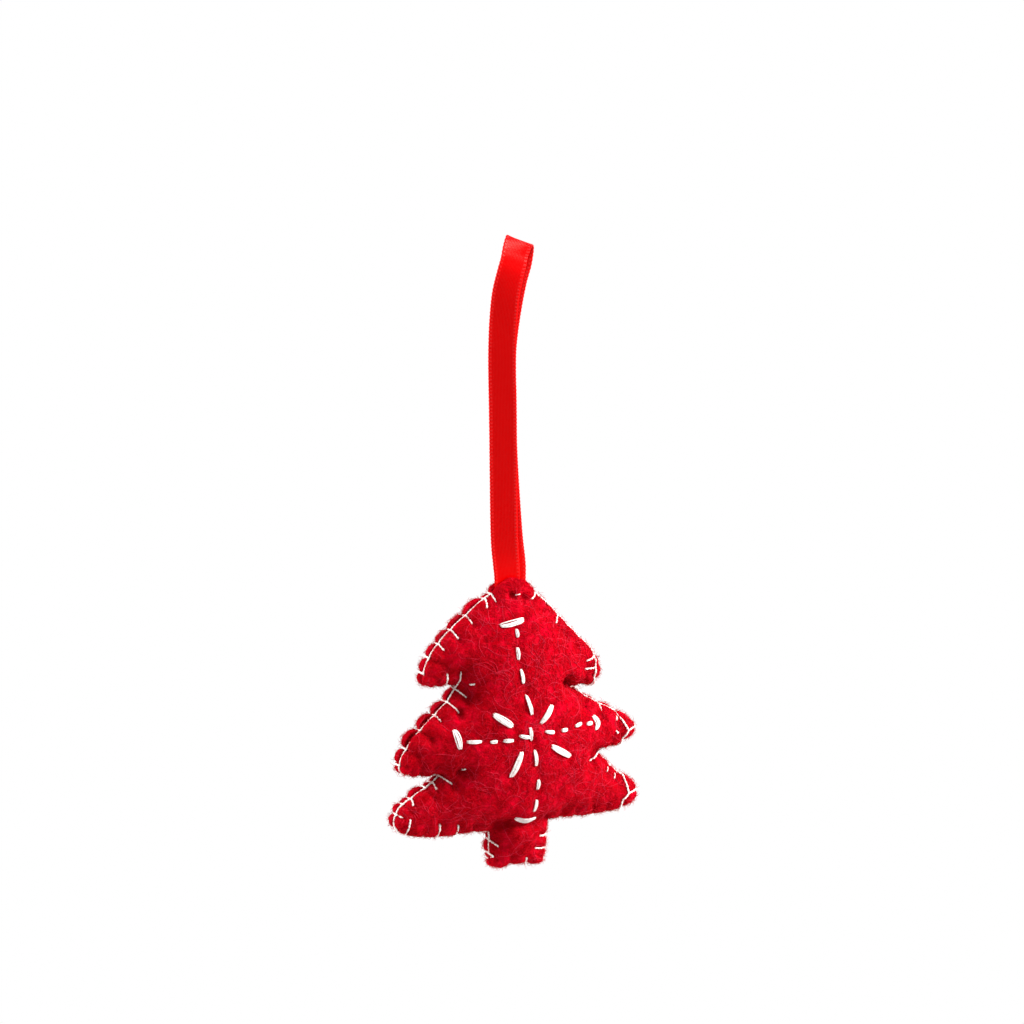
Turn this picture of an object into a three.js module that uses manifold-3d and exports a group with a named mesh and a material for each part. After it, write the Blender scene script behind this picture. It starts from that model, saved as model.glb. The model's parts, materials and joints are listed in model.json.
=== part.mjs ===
// A stuffed felt tree that hangs on a satin ribbon loop. Millimetres, +Z up, front towards -Y.
// The origin is the inside of the loop's fold, where a hook or a twig carries the ornament.

import * as THREE from 'three';
import { mergeVertices } from 'three/addons/utils/BufferGeometryUtils.js';
import Module from 'manifold-3d';

const wasm = await Module();
wasm.setup();

// The gap that neighbouring pieces keep
const CLEARANCE = 0.3;

// The tree's size over its lowest tier, and its height down to the trunk
const TREE_X = -2.2;
const TREE_WIDTH = 58.3;
const BODY_HEIGHT = 53.8;

// A tier of the tree, in shares of its width and body height: its tip's half width and drop from the tree's
// top edge, the drop of its underside, the tip's rounding, and the half width of the notch below it
function tier(tip, tipDrop, underside, round, notch = 0) {
  return {
    tip: tip * TREE_WIDTH,
    tipDrop: tipDrop * BODY_HEIGHT,
    underside: underside * BODY_HEIGHT,
    round: round * TREE_WIDTH,
    notch: notch * TREE_WIDTH,
  };
}

// The outline is cut by hand and so uneven
const TIERS = {
  right: [
    tier(0.353, 0.361, 0.431, 0.05, 0.237),
    tier(0.501, 0.632, 0.71, 0.1, 0.346),
    tier(0.506, 0.892, 0.963, 0.08),
  ],
  left: [
    tier(0.367, 0.335, 0.383, 0.05, 0.223),
    tier(0.453, 0.669, 0.736, 0.05, 0.295),
    tier(0.494, 0.907, 1, 0.12),
  ],
};
const TRUNK_HALF_WIDTH = 6.6;
const TRUNK_SHIFT = 0.8;
const TRUNK_LENGTH = 8;
const NOTCH_ROUND = 2.2;
const TRUNK_ROUND = 2;
const SLOPE_BOW = 0.9;

// Felt, and the pocket that the stuffing opens between its two panels
const FELT = 2.6;
const FELT_EDGE = 1.7;
const SEAM_GAP = 0.3;
const POCKET_HALF_DEPTH = 5.6;
const POCKET_FULLNESS = 0.6;
const FELT_GRID = 4.2;

// Edge stitching: the felt stands out in a lobe between stitches and parts round the thread
const EDGE_THREAD = 0.6;
const STITCH_PITCH = 4.4;
const STITCH_BITE = 2.6;
const MOUTH_BITE = 1.2;
const LOBE = 0.8;
const LOBE_STEPS = 3;

// Embroidery floss
const RUNNING_FLOSS = 1;
const BAR_FLOSS = 1.3;
const PETAL_FLOSS = 1.4;
const TACK_THREAD = 0.6;

// Ribbon, its fold's split from the legs, and the crease where it meets the felt
const RIBBON_WIDTH = 6;
const RIBBON_THICKNESS = 0.3;
const LOOP_HEIGHT = 75;
const FOLD_DEPTH = 22;
const TAIL_LENGTH = 8;
const TAIL_SPREAD = 1.6;
const MOUTH_MARGIN = 1.1;
const CREASE_RISE = 2.2;
const CREASE_GAP = 0.9;
const RIBBON_STEP = 2.5;

const THREAD_SIDES = 4;
const FLOSS_SIDES = 6;
const HOLE_SIDES = 4;
const FLOSS_STEP = 1.6;

const TOP_HALF_WIDTH = (RIBBON_WIDTH + TAIL_SPREAD) / 2 + MOUTH_MARGIN;
const TAIL_SPACING = RIBBON_THICKNESS + CLEARANCE;
const LEG_END_Z = CREASE_RISE + CREASE_GAP / 2 - LOOP_HEIGHT;
const MOUTH_GAP = TAIL_SPACING / 2 + RIBBON_THICKNESS / 2 + CLEARANCE;
const TRUNK_DROP = Math.max(...Object.values(TIERS).map((tiers) => tiers[2].underside)) + TRUNK_LENGTH;

// A hand-sewn stitch on the front panel, in shares of the tree's width and body height: from a place to a
// place, each across and down from the middle of the tree's top edge
function stitch(x1, drop1, x2, drop2) {
  return [x1 * TREE_WIDTH, -drop1 * BODY_HEIGHT, x2 * TREE_WIDTH, -drop2 * BODY_HEIGHT];
}

const RUNNING_STITCHES = {
  upper_arm_floss: [
    stitch(-0.015, 0.156, -0.015, 0.193),
    stitch(-0.021, 0.23, -0.021, 0.283),
    stitch(-0.017, 0.316, -0.007, 0.377),
    stitch(-0.002, 0.422, 0.017, 0.502),
  ],
  lower_arm_floss: [
    stitch(0.027, 0.651, 0.039, 0.721),
    stitch(0.053, 0.777, 0.053, 0.822),
    stitch(0.053, 0.866, 0.05, 0.914),
  ],
  left_arm_floss: [
    stitch(-0.058, 0.6, -0.096, 0.599),
    stitch(-0.127, 0.597, -0.158, 0.6),
    stitch(-0.189, 0.597, -0.233, 0.591),
  ],
  right_arm_floss: [
    stitch(0.074, 0.58, 0.115, 0.591),
    stitch(0.146, 0.586, 0.178, 0.587),
    stitch(0.209, 0.58, 0.24, 0.574),
    stitch(0.268, 0.58, 0.292, 0.584),
  ],
  centre_floss: [stitch(0.014, 0.55, 0.015, 0.61)],
};
const BAR_STITCHES = {
  upper_bar_floss: stitch(-0.081, 0.13, 0.014, 0.121),
  lower_bar_floss: stitch(-0.031, 0.944, 0.062, 0.952),
  left_bar_floss: stitch(-0.274, 0.546, -0.257, 0.628),
  right_bar_floss: stitch(0.322, 0.55, 0.324, 0.613),
};
const PETAL_STITCHES = {
  upper_left_petal_floss: stitch(-0.136, 0.491, -0.058, 0.543),
  upper_right_petal_floss: stitch(0.108, 0.478, 0.055, 0.543),
  lower_right_petal_floss: stitch(0.101, 0.643, 0.19, 0.706),
  lower_left_petal_floss: stitch(-0.024, 0.651, -0.065, 0.755),
};
const TACK_STITCH = stitch(-0.017, 0.035, 0.017, 0.033);

// The height of a place on the ribbon's legs, as its share of the way from the fold to the felt
function legHeight(share) {
  return THREE.MathUtils.lerp(-FOLD_DEPTH, LEG_END_Z, share);
}

// The ribbon's middle line from the front of the mouth, over the fold, to the back of the mouth:
// x, y, z, then the turn of its width about Z and its lean towards the right, in degrees
const RIBBON_ROUTE = [
  [TREE_X - TAIL_SPREAD / 2, -TAIL_SPACING / 2, legHeight(1), 0, 0],
  [-3.93, -0.8, legHeight(0.82), -6, 0],
  [-4.5, -1.4, legHeight(0.5), -13, 0],
  [-4.83, -1.8, legHeight(0.25), -19, 0],
  [-5.1, -1.95, legHeight(0.1), -23, 1],
  [-5.12, -2.05, legHeight(0), -25, 3],
  [-4.9, -2.1, -16.5, -26, 7],
  [-4.41, -2.2, -10.9, -26, 12],
  [-3.36, -2.25, -6.3, -26, 17],
  [-2.12, -2.2, -2.45, -26, 20],
  [-1.45, -1.85, -1.1, -26, 20],
  [-0.75, -1.05, -0.2, -26, 20],
  [0, 0, RIBBON_THICKNESS / 2, -26, 20],
  [0.62, 1.1, -0.25, -26, 20],
  [1.1, 1.95, -1.2, -26, 20],
  [1.18, 2.3, -2.6, -26, 20],
  [0.7, 2.28, -5.2, -26, 17],
  [-0.55, 2.2, -9.2, -26, 13],
  [-1.95, 2.05, -15.5, -26, 8],
  [-2.95, 1.95, legHeight(0), -25, 3],
  [-3.2, 1.9, legHeight(0.1), -23, 1],
  [-3.2, 1.75, legHeight(0.25), -19, 0],
  [-3.1, 1.3, legHeight(0.5), -13, 0],
  [-2.2, 0.8, legHeight(0.82), -6, 0],
  [TREE_X + TAIL_SPREAD / 2, TAIL_SPACING / 2, legHeight(1), 0, 0],
];
const FRONT_SPLIT = 5;
const BACK_SPLIT = RIBBON_ROUTE.length - 1 - FRONT_SPLIT;

const FELT_COLOUR = 0xc1061c;
const RIBBON_COLOUR = 0xdc0a0a;
const THREAD_COLOUR = 0xf2ebe0;
const STUFFING_COLOUR = 0xf5f3ee;

const tree = new THREE.Group();
tree.position.set(TREE_X, 0, -LOOP_HEIGHT);
const ornament = new THREE.Group();
ornament.add(tree);

// A named mesh with a matt or satin finish
function piece(parent, name, geometry, color, roughness) {
  const material = new THREE.MeshStandardMaterial({ color, roughness, metalness: 0 });
  const mesh = new THREE.Mesh(geometry, material);
  mesh.name = name;
  parent.add(mesh);
  return mesh;
}

function indexed(points, triangles) {
  const geometry = new THREE.BufferGeometry();
  geometry.setAttribute('position', new THREE.Float32BufferAttribute(points.flat(), 3));
  geometry.setIndex(triangles.flat());
  return geometry;
}

function toSolid(geometry) {
  const bare = geometry.clone();
  bare.deleteAttribute('normal');
  bare.deleteAttribute('uv');
  const merged = mergeVertices(bare, 1e-5);
  const mesh = new wasm.Mesh({
    numProp: 3,
    vertProperties: new Float32Array(merged.attributes.position.array),
    triVerts: new Uint32Array(merged.index.array),
  });
  return new wasm.Manifold(mesh);
}

function toGeometry(solid) {
  const mesh = solid.getMesh();
  const geometry = new THREE.BufferGeometry();
  geometry.setAttribute('position', new THREE.BufferAttribute(mesh.vertProperties, 3));
  geometry.setIndex(new THREE.BufferAttribute(mesh.triVerts, 1));
  return geometry;
}

// A closed sweep of a polygon, whose corners are given in each station's own across and up directions
function sweep(stations, section) {
  const sides = section.length;
  const points = stations.flatMap(({ at, across, up }) =>
    section.map(([a, u]) => at.clone().addScaledVector(across, a).addScaledVector(up, u).toArray()),
  );
  const triangles = [];
  for (let ring = 0; ring + 1 < stations.length; ring++) {
    for (let side = 0; side < sides; side++) {
      const a = ring * sides + side;
      const b = ring * sides + ((side + 1) % sides);
      triangles.push([a, b, b + sides], [a, b + sides, a + sides]);
    }
  }
  const last = (stations.length - 1) * sides;
  for (let side = 1; side + 1 < sides; side++) {
    triangles.push([0, side + 1, side], [last, last + side, last + side + 1]);
  }
  return indexed(points, triangles);
}

// A round thread along a bent line of points
function thread(points, diameter, sides) {
  const section = [];
  for (let side = 0; side < sides; side++) {
    const angle = (2 * Math.PI * (side + 0.5)) / sides;
    section.push([(Math.cos(angle) * diameter) / 2, (Math.sin(angle) * diameter) / 2]);
  }
  const directions = points.slice(1).map((p, i) => p.clone().sub(points[i]).normalize());
  const across = new THREE.Vector3(0.2, 0.1, 1).cross(directions[0]).normalize();
  const turn = new THREE.Quaternion();
  let before = directions[0];
  const stations = points.map((at, i) => {
    const into = directions[Math.max(i - 1, 0)];
    const out = directions[Math.min(i, directions.length - 1)];
    const along = into.clone().add(out).normalize();
    across.applyQuaternion(turn.setFromUnitVectors(before, along));
    before = along;
    return { at, across: across.clone(), up: along.clone().cross(across) };
  });
  return sweep(stations, section);
}

// The outline's right or left side, from the middle of the top edge to the middle of the trunk's foot
function sideCurves(side) {
  const at = (halfWidth, drop) => new THREE.Vector2(side * halfWidth, -drop);
  const curve = (a, control, b) => new THREE.QuadraticBezierCurve(a, control, b);
  const line = (a, b) => curve(a, a.clone().lerp(b, 0.5), b);
  const curves = [];
  const tiers = side > 0 ? TIERS.right : TIERS.left;
  let from = at(TOP_HALF_WIDTH, 0);
  curves.push(line(at(0, 0), from));
  tiers.forEach((tier, i) => {
    const tip = at(tier.tip, tier.tipDrop);
    const slope = tip.clone().sub(from).normalize();
    const bow = new THREE.Vector2(-slope.y * side, slope.x * side).multiplyScalar(2 * SLOPE_BOW);
    curves.push(curve(from, from.clone().lerp(tip, 0.5).add(bow), tip));
    const under = at(tier.tip - tier.round, tier.underside);
    curves.push(curve(tip, at(tier.tip, tier.underside), under));
    const inner = tier.notch || TRUNK_HALF_WIDTH + side * TRUNK_SHIFT;
    const corner = at(inner, tier.underside);
    const before = at(inner + NOTCH_ROUND, tier.underside);
    const next = tiers[i + 1];
    const onward = next ? at(next.tip, next.tipDrop) : at(inner, TRUNK_DROP);
    const after = corner.clone().add(onward.sub(corner).setLength(NOTCH_ROUND));
    curves.push(line(under, before), curve(before, corner, after));
    from = after;
  });
  const trunk = TRUNK_HALF_WIDTH + side * TRUNK_SHIFT;
  const heel = at(trunk, TRUNK_DROP - TRUNK_ROUND);
  const sole = at(trunk - TRUNK_ROUND, TRUNK_DROP);
  curves.push(line(from, heel), curve(heel, at(trunk, TRUNK_DROP), sole));
  curves.push(line(sole, at(side * TRUNK_SHIFT, TRUNK_DROP)));
  return curves;
}

function treeOutline() {
  const outline = new THREE.CurvePath();
  sideCurves(1).forEach((curve) => outline.add(curve));
  sideCurves(-1)
    .reverse()
    .forEach(({ v0, v1, v2 }) => outline.add(new THREE.QuadraticBezierCurve(v2, v1, v0)));
  return outline;
}

const outline = treeOutline();
const outlineLength = outline.getLength();
const stitchedLength = outlineLength - 2 * TOP_HALF_WIDTH;
const stitchSpaces = Math.round(stitchedLength / STITCH_PITCH);
const stitchSpacing = stitchedLength / stitchSpaces;

// A place on the outline, counted in stitches from the mouth's right corner, with its outward normal
function outlineAt(stitches) {
  const share = (TOP_HALF_WIDTH + stitches * stitchSpacing) / outlineLength;
  const along = outline.getTangent(share);
  return { place: outline.getPoint(share), out: new THREE.Vector2(-along.y, along.x) };
}

// How far the felt stands out between stitches, with none where the outline turns in
function lobeAt(stitches) {
  const { place, out } = outlineAt(stitches);
  const half = 0.5;
  const chord = outlineAt(stitches - half).place.lerp(outlineAt(stitches + half).place, half);
  const hollow = Math.max(0, chord.sub(place).dot(out));
  return Math.max(0, LOBE - 2 * hollow);
}

function isMouthCorner(number) {
  return number === 0 || number === stitchSpaces;
}

function biteAt(number) {
  return isMouthCorner(number) ? MOUTH_BITE : STITCH_BITE;
}

// The felt's edge: lobes between stitches, then the straight mouth that takes the ribbon
function feltEdge() {
  const lobeFlare = EDGE_THREAD / 2 + 2 * CLEARANCE;
  const edge = [];
  for (let step = 0; step <= stitchSpaces * LOBE_STEPS; step++) {
    const { place, out } = outlineAt(step / LOBE_STEPS);
    const swell = Math.sin((Math.PI * (step % LOBE_STEPS)) / LOBE_STEPS);
    const gap = isMouthCorner(step / LOBE_STEPS) ? MOUTH_GAP : SEAM_GAP / 2 + swell * lobeFlare;
    edge.push({ place: place.addScaledVector(out, swell * lobeAt(step / LOBE_STEPS)), gap });
  }
  const mouthSteps = Math.ceil((2 * TOP_HALF_WIDTH) / (stitchSpacing / LOBE_STEPS));
  for (let step = 1; step < mouthSteps; step++) {
    const x = TOP_HALF_WIDTH * ((2 * step) / mouthSteps - 1);
    edge.push({ place: new THREE.Vector2(x, 0), gap: MOUTH_GAP });
  }
  return edge;
}

function insideEdge(point, ring) {
  let inside = false;
  ring.forEach((a, i) => {
    const b = ring[(i + 1) % ring.length];
    const crosses = a.y > point.y !== b.y > point.y;
    if (crosses && point.x < a.x + ((b.x - a.x) * (point.y - a.y)) / (b.y - a.y)) inside = !inside;
  });
  return inside;
}

function distanceToEdge(point, ring) {
  const nearest = new THREE.Vector3();
  const flat = new THREE.Vector3(point.x, point.y, 0);
  const distances = ring.map((a, i) => {
    const b = ring[(i + 1) % ring.length];
    const line = new THREE.Line3(new THREE.Vector3(a.x, a.y, 0), new THREE.Vector3(b.x, b.y, 0));
    return line.closestPointToPoint(flat, true, nearest).distanceTo(flat);
  });
  return Math.min(...distances);
}

// Staggered points over the felt, clear of its edge
function gridInside(ring) {
  const box = new THREE.Box2().setFromPoints(ring);
  const rowHeight = FELT_GRID * Math.sin(Math.PI / 3);
  const points = [];
  for (let row = 0; box.min.y + row * rowHeight < box.max.y; row++) {
    const start = box.min.x + (row % 2) * (FELT_GRID / 2);
    for (let x = start; x < box.max.x; x += FELT_GRID) {
      const point = new THREE.Vector2(x, box.min.y + row * rowHeight);
      if (insideEdge(point, ring) && distanceToEdge(point, ring) > FELT_GRID / 2) points.push(point);
    }
  }
  return points;
}

function circleRound(a, b, c) {
  const ab = b.clone().sub(a);
  const ac = c.clone().sub(a);
  const twiceArea = 2 * ab.cross(ac);
  const x = (ac.y * ab.lengthSq() - ab.y * ac.lengthSq()) / twiceArea;
  const y = (ab.x * ac.lengthSq() - ac.x * ab.lengthSq()) / twiceArea;
  const centre = new THREE.Vector2(a.x + x, a.y + y);
  return { centre, radiusSq: centre.distanceToSquared(a) };
}

// Even triangles over a set of points, in counter-clockwise order
function triangulate(points) {
  const far = 1000;
  const count = points.length;
  const all = [...points];
  [0, 1, 2].forEach((corner) => {
    const angle = (2 * Math.PI * corner) / 3 + 0.1;
    all.push(new THREE.Vector2(far * Math.cos(angle), far * Math.sin(angle)));
  });
  const triangle = (corners) => ({ corners, ...circleRound(...corners.map((i) => all[i])) });
  let mesh = [triangle([count, count + 1, count + 2])];
  for (let added = 0; added < count; added++) {
    const near = (t) => t.centre.distanceToSquared(all[added]) < t.radiusSq;
    const rims = mesh.filter(near).flatMap(({ corners: [a, b, c] }) => [[a, b], [b, c], [c, a]]);
    const single = rims.filter(([a, b]) => !rims.some(([c, d]) => a === d && b === c));
    mesh = mesh.filter((t) => !near(t)).concat(single.map(([a, b]) => triangle([a, b, added])));
  }
  return mesh.map((t) => t.corners).filter((corners) => corners.every((i) => i < count));
}

// Values on the felt settle between their neighbours, each raised by the same lift
function settle(start, neighbours, isFixed, lift) {
  const values = [...start];
  const passes = 500;
  for (let pass = 0; pass < passes; pass++) {
    neighbours.forEach((near, i) => {
      if (isFixed(i)) return;
      values[i] = near.reduce((sum, j) => sum + values[j], 0) / near.length + lift;
    });
  }
  return values;
}

// The flat felt: its points, triangles, distance from the edge, and half the pocket's depth at each point
function feltSheet() {
  const edge = feltEdge();
  const ring = edge.map(({ place }) => place);
  const points = [...ring, ...gridInside(ring)];
  const middle = ([a, b, c]) => points[a].clone().add(points[b]).add(points[c]).divideScalar(3);
  const triangles = triangulate(points).filter((t) => insideEdge(middle(t), ring));
  const around = points.map(() => new Set());
  triangles.forEach((t) => t.forEach((i) => t.forEach((j) => i !== j && around[i].add(j))));
  const neighbours = around.map((set) => [...set]);
  const onEdge = (i) => i < ring.length;
  const gaps = settle(points.map((_, i) => edge[i]?.gap ?? 0), neighbours, onEdge, 0);
  const swell = settle(points.map(() => 0), neighbours, onEdge, 1);
  const most = Math.max(...swell);
  const pocket = gaps.map((gap, i) => gap + POCKET_HALF_DEPTH * (swell[i] / most) ** POCKET_FULLNESS);
  const inset = points.map((point) => distanceToEdge(point, ring));
  return { points, triangles, pocket, inset, edgeCount: ring.length };
}

const sheet = feltSheet();

// One felt panel before its needle holes: facing is -1 in front and 1 behind
function panelBlank(facing) {
  const { points, triangles, pocket, edgeCount } = sheet;
  const count = points.length;
  const inner = points.map(({ x, y }, i) => [x, facing * pocket[i], y]);
  const thickness = (i) => (i < edgeCount ? FELT_EDGE : FELT);
  const outer = points.map(({ x, y }, i) => [x, facing * (pocket[i] + thickness(i)), y]);
  const faces = triangles.flatMap(([a, b, c]) => [
    [a + count, b + count, c + count],
    [a, c, b],
  ]);
  for (let i = 0; i < edgeCount; i++) {
    const j = (i + 1) % edgeCount;
    faces.push([j, i, i + count], [j, i + count, j + count]);
  }
  const turned = facing < 0 ? faces : faces.map(([a, b, c]) => [a, c, b]);
  return indexed([...inner, ...outer], turned);
}

const blanks = { front: new THREE.Mesh(panelBlank(-1)), back: new THREE.Mesh(panelBlank(1)) };
Object.values(blanks).forEach((mesh) => (mesh.material.side = THREE.DoubleSide));
const ray = new THREE.Raycaster();

// How far the felt's outer and inner faces lie from the seam at x, z
function feltFaces(mesh, facing, x, z) {
  const outside = 100;
  ray.set(new THREE.Vector3(x, facing * outside, z), new THREE.Vector3(0, -facing, 0));
  const hits = ray.intersectObject(mesh);
  return { outer: outside - hits[0].distance, inner: outside - hits[hits.length - 1].distance };
}

// A floss along stitches on the front panel, whose ends pass through the felt to its inner face
function flossPath(stitches, diameter) {
  const lift = diameter / 2 + CLEARANCE;
  const path = [];
  stitches.forEach(([x1, z1, x2, z2]) => {
    const steps = Math.max(1, Math.ceil(Math.hypot(x2 - x1, z2 - z1) / FLOSS_STEP));
    const inside = (x, z) => new THREE.Vector3(x, lift - feltFaces(blanks.front, -1, x, z).inner, z);
    path.push(inside(x1, z1));
    for (let step = 0; step <= steps; step++) {
      const x = x1 + ((x2 - x1) * step) / steps;
      const z = z1 + ((z2 - z1) * step) / steps;
      path.push(new THREE.Vector3(x, -feltFaces(blanks.front, -1, x, z).outer - lift, z));
    }
    path.push(inside(x2, z2));
  });
  return path;
}

// A needle hole along Y at x, z, through everything within its length
function needleHole(x, z, diameter) {
  const reach = 4 * (POCKET_HALF_DEPTH + FELT);
  const radius = (diameter / 2 + CLEARANCE) / Math.cos(Math.PI / HOLE_SIDES);
  const hole = new THREE.CylinderGeometry(radius, radius, reach, HOLE_SIDES);
  return hole.rotateY(Math.PI / 4).translate(x, 0, z);
}

// One edge stitch: along the seam, over the front, through both panels and back to the seam
function edgeStitch(number) {
  const { place, out } = outlineAt(number);
  const lift = EDGE_THREAD / 2 + CLEARANCE;
  const pass = EDGE_THREAD / 2 + CLEARANCE / 2;
  const at = (outward, y) => {
    const flat = place.clone().addScaledVector(out, outward);
    return new THREE.Vector3(flat.x, y, flat.y);
  };
  const along = new THREE.Vector2(out.y, -out.x);
  const over = (facing, bite) => {
    const mesh = facing < 0 ? blanks.front : blanks.back;
    const heights = [-EDGE_THREAD / 2, 0, EDGE_THREAD / 2].map((side) => {
      const flat = place.clone().addScaledVector(out, -bite).addScaledVector(along, side);
      return feltFaces(mesh, facing, flat.x, flat.y).outer;
    });
    return at(-bite, facing * (Math.max(...heights) + lift));
  };
  const edgeGap = isMouthCorner(number) ? MOUTH_GAP : SEAM_GAP / 2;
  const corner = (facing) => at(lift, facing * (edgeGap + FELT_EDGE + lift));
  const bite = biteAt(number);
  return [
    at(lift, -pass),
    corner(-1),
    over(-1, bite / 2),
    over(-1, bite),
    over(1, bite),
    over(1, bite / 2),
    corner(1),
    at(lift, pass),
  ];
}

function edgeThreadPath() {
  const path = [];
  for (let number = 0; number <= stitchSpaces; number++) {
    path.push(...edgeStitch(number));
    if (number === stitchSpaces) break;
    for (let step = 1; step < LOBE_STEPS; step++) {
      const { place, out } = outlineAt(number + step / LOBE_STEPS);
      const seam = place.addScaledVector(out, EDGE_THREAD / 2 + CLEARANCE);
      path.push(new THREE.Vector3(seam.x, 0, seam.y));
    }
  }
  return path;
}

function stitchEnds([x1, z1, x2, z2], diameter) {
  return [needleHole(x1, z1, diameter), needleHole(x2, z2, diameter)];
}

function cut(geometry, holes) {
  return toGeometry(holes.reduce((solid, hole) => solid.subtract(toSolid(hole)), toSolid(geometry)));
}

function edgeHoles() {
  const holes = [];
  for (let number = 0; number <= stitchSpaces; number++) {
    const { place, out } = outlineAt(number);
    const hole = place.addScaledVector(out, -biteAt(number));
    holes.push(needleHole(hole.x, hole.y, EDGE_THREAD));
  }
  return holes;
}

function embroideryHoles() {
  const ends = (stitches, diameter) => stitches.flatMap((stitch) => stitchEnds(stitch, diameter));
  return [
    ...ends(Object.values(RUNNING_STITCHES).flat(), RUNNING_FLOSS),
    ...ends(Object.values(BAR_STITCHES), BAR_FLOSS),
    ...ends(Object.values(PETAL_STITCHES), PETAL_FLOSS),
  ];
}

const tackHoles = stitchEnds(TACK_STITCH, TACK_THREAD);

// The two felt panels, with a hole for every stitch that passes through them
function addPanels() {
  const through = [...edgeHoles(), ...tackHoles];
  const front = cut(blanks.front.geometry, [...through, ...embroideryHoles()]);
  piece(tree, 'front_panel', front, FELT_COLOUR, 0.95);
  piece(tree, 'back_panel', cut(blanks.back.geometry, through), FELT_COLOUR, 0.95);
}

function addEmbroidery() {
  const add = (name, stitches, diameter) => {
    const geometry = thread(flossPath(stitches, diameter), diameter, FLOSS_SIDES);
    piece(tree, name, geometry, THREAD_COLOUR, 0.6);
  };
  for (const [name, stitches] of Object.entries(RUNNING_STITCHES)) add(name, stitches, RUNNING_FLOSS);
  for (const [name, stitch] of Object.entries(BAR_STITCHES)) add(name, [stitch], BAR_FLOSS);
  for (const [name, stitch] of Object.entries(PETAL_STITCHES)) add(name, [stitch], PETAL_FLOSS);
}

function addEdgeThread() {
  piece(tree, 'edge_thread', thread(edgeThreadPath(), EDGE_THREAD, THREAD_SIDES), THREAD_COLOUR, 0.6);
}

// The stitch that holds the ribbon's ends, right through the felt and back again
function addTackStitch() {
  const [x1, z1, x2, z2] = TACK_STITCH;
  const lift = TACK_THREAD / 2 + CLEARANCE;
  const front = (x, z) => new THREE.Vector3(x, -feltFaces(blanks.front, -1, x, z).outer - lift, z);
  const back = (x, z) => new THREE.Vector3(x, feltFaces(blanks.back, 1, x, z).outer + lift, z);
  const path = [back(x1, z1), front(x1, z1), front(x2, z2), back(x2, z2)];
  piece(tree, 'tack_stitch', thread(path, TACK_THREAD, FLOSS_SIDES), THREAD_COLOUR, 0.6);
}

// The stuffing fills the pocket inside the stitches, clear of the floss on the felt's inner face
function stuffingSolid() {
  const { points, triangles, pocket, inset } = sheet;
  const rim = STITCH_BITE + EDGE_THREAD / 2 + 3 * CLEARANCE;
  const room = PETAL_FLOSS + 3 * CLEARANCE;
  const corners = points.map(({ x, y }, i) => ({ x, z: y, depth: pocket[i] - room, over: inset[i] - rim }));
  const within = ({ depth, over }) => Math.min(depth, over);
  const places = [];
  const faces = [];
  triangles.forEach((triangle) => {
    const kept = [];
    triangle.forEach((index, i) => {
      const a = corners[index];
      const b = corners[triangle[(i + 1) % 3]];
      if (within(a) > 0) kept.push([a.x, Math.min(a.depth, 2 * within(a)), a.z]);
      if (within(a) > 0 === within(b) > 0) return;
      const share = within(a) / (within(a) - within(b));
      kept.push([a.x + (b.x - a.x) * share, 0, a.z + (b.z - a.z) * share]);
    });
    for (let i = 1; i + 1 < kept.length; i++) {
      const first = places.length;
      const fan = [kept[0], kept[i], kept[i + 1]];
      places.push(...fan.map(([x, y, z]) => [x, -y, z]), ...fan);
      faces.push([first, first + 1, first + 2], [first + 3, first + 5, first + 4]);
    }
  });
  return indexed(places, faces);
}

const ribbonEnds = [RIBBON_ROUTE[0], RIBBON_ROUTE[RIBBON_ROUTE.length - 1]];

// A sewn ribbon end between the panels, or the room that it takes
function ribbonTail([x, y], room) {
  const top = CREASE_RISE - CREASE_GAP / 2;
  const bottom = -TAIL_LENGTH - room;
  const box = new THREE.BoxGeometry(RIBBON_WIDTH + 2 * room, RIBBON_THICKNESS + 2 * room, top - bottom);
  return box.translate(x - TREE_X, y, (top + bottom) / 2);
}

function addStuffing() {
  const rooms = ribbonEnds.map((end) => ribbonTail(end, CLEARANCE));
  piece(tree, 'stuffing', cut(stuffingSolid(), rooms), STUFFING_COLOUR, 1);
}

// The ribbon's stations between two points of its route, with its width turned and leaned as it goes
function ribbonStations(first, last) {
  const middle = new THREE.CatmullRomCurve3(RIBBON_ROUTE.map(([x, y, z]) => new THREE.Vector3(x, y, z)));
  const spans = RIBBON_ROUTE.length - 1;
  const stations = [];
  for (let span = first; span < last; span++) {
    const from = new THREE.Vector3(...RIBBON_ROUTE[span]);
    const length = from.distanceTo(new THREE.Vector3(...RIBBON_ROUTE[span + 1]));
    const steps = Math.ceil(length / RIBBON_STEP);
    for (let step = span === first ? 0 : 1; step <= steps; step++) {
      const share = step / steps;
      const turn = (k) => THREE.MathUtils.lerp(RIBBON_ROUTE[span][k], RIBBON_ROUTE[span + 1][k], share);
      const yaw = THREE.MathUtils.degToRad(turn(3));
      const lean = THREE.MathUtils.degToRad(turn(4));
      const across = new THREE.Vector3(Math.cos(lean), 0, -Math.sin(lean));
      across.applyAxisAngle(new THREE.Vector3(0, 0, 1), yaw);
      const t = (span + share) / spans;
      const along = middle.getTangent(t);
      across.addScaledVector(along, -across.dot(along)).normalize();
      stations.push({ at: middle.getPoint(t), across, up: along.clone().cross(across) });
    }
  }
  return stations;
}

function ribbonSection() {
  const half = RIBBON_WIDTH / 2;
  const thin = RIBBON_THICKNESS / 2;
  return [[-half, -thin], [half, -thin], [half, thin], [-half, thin]];
}

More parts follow.
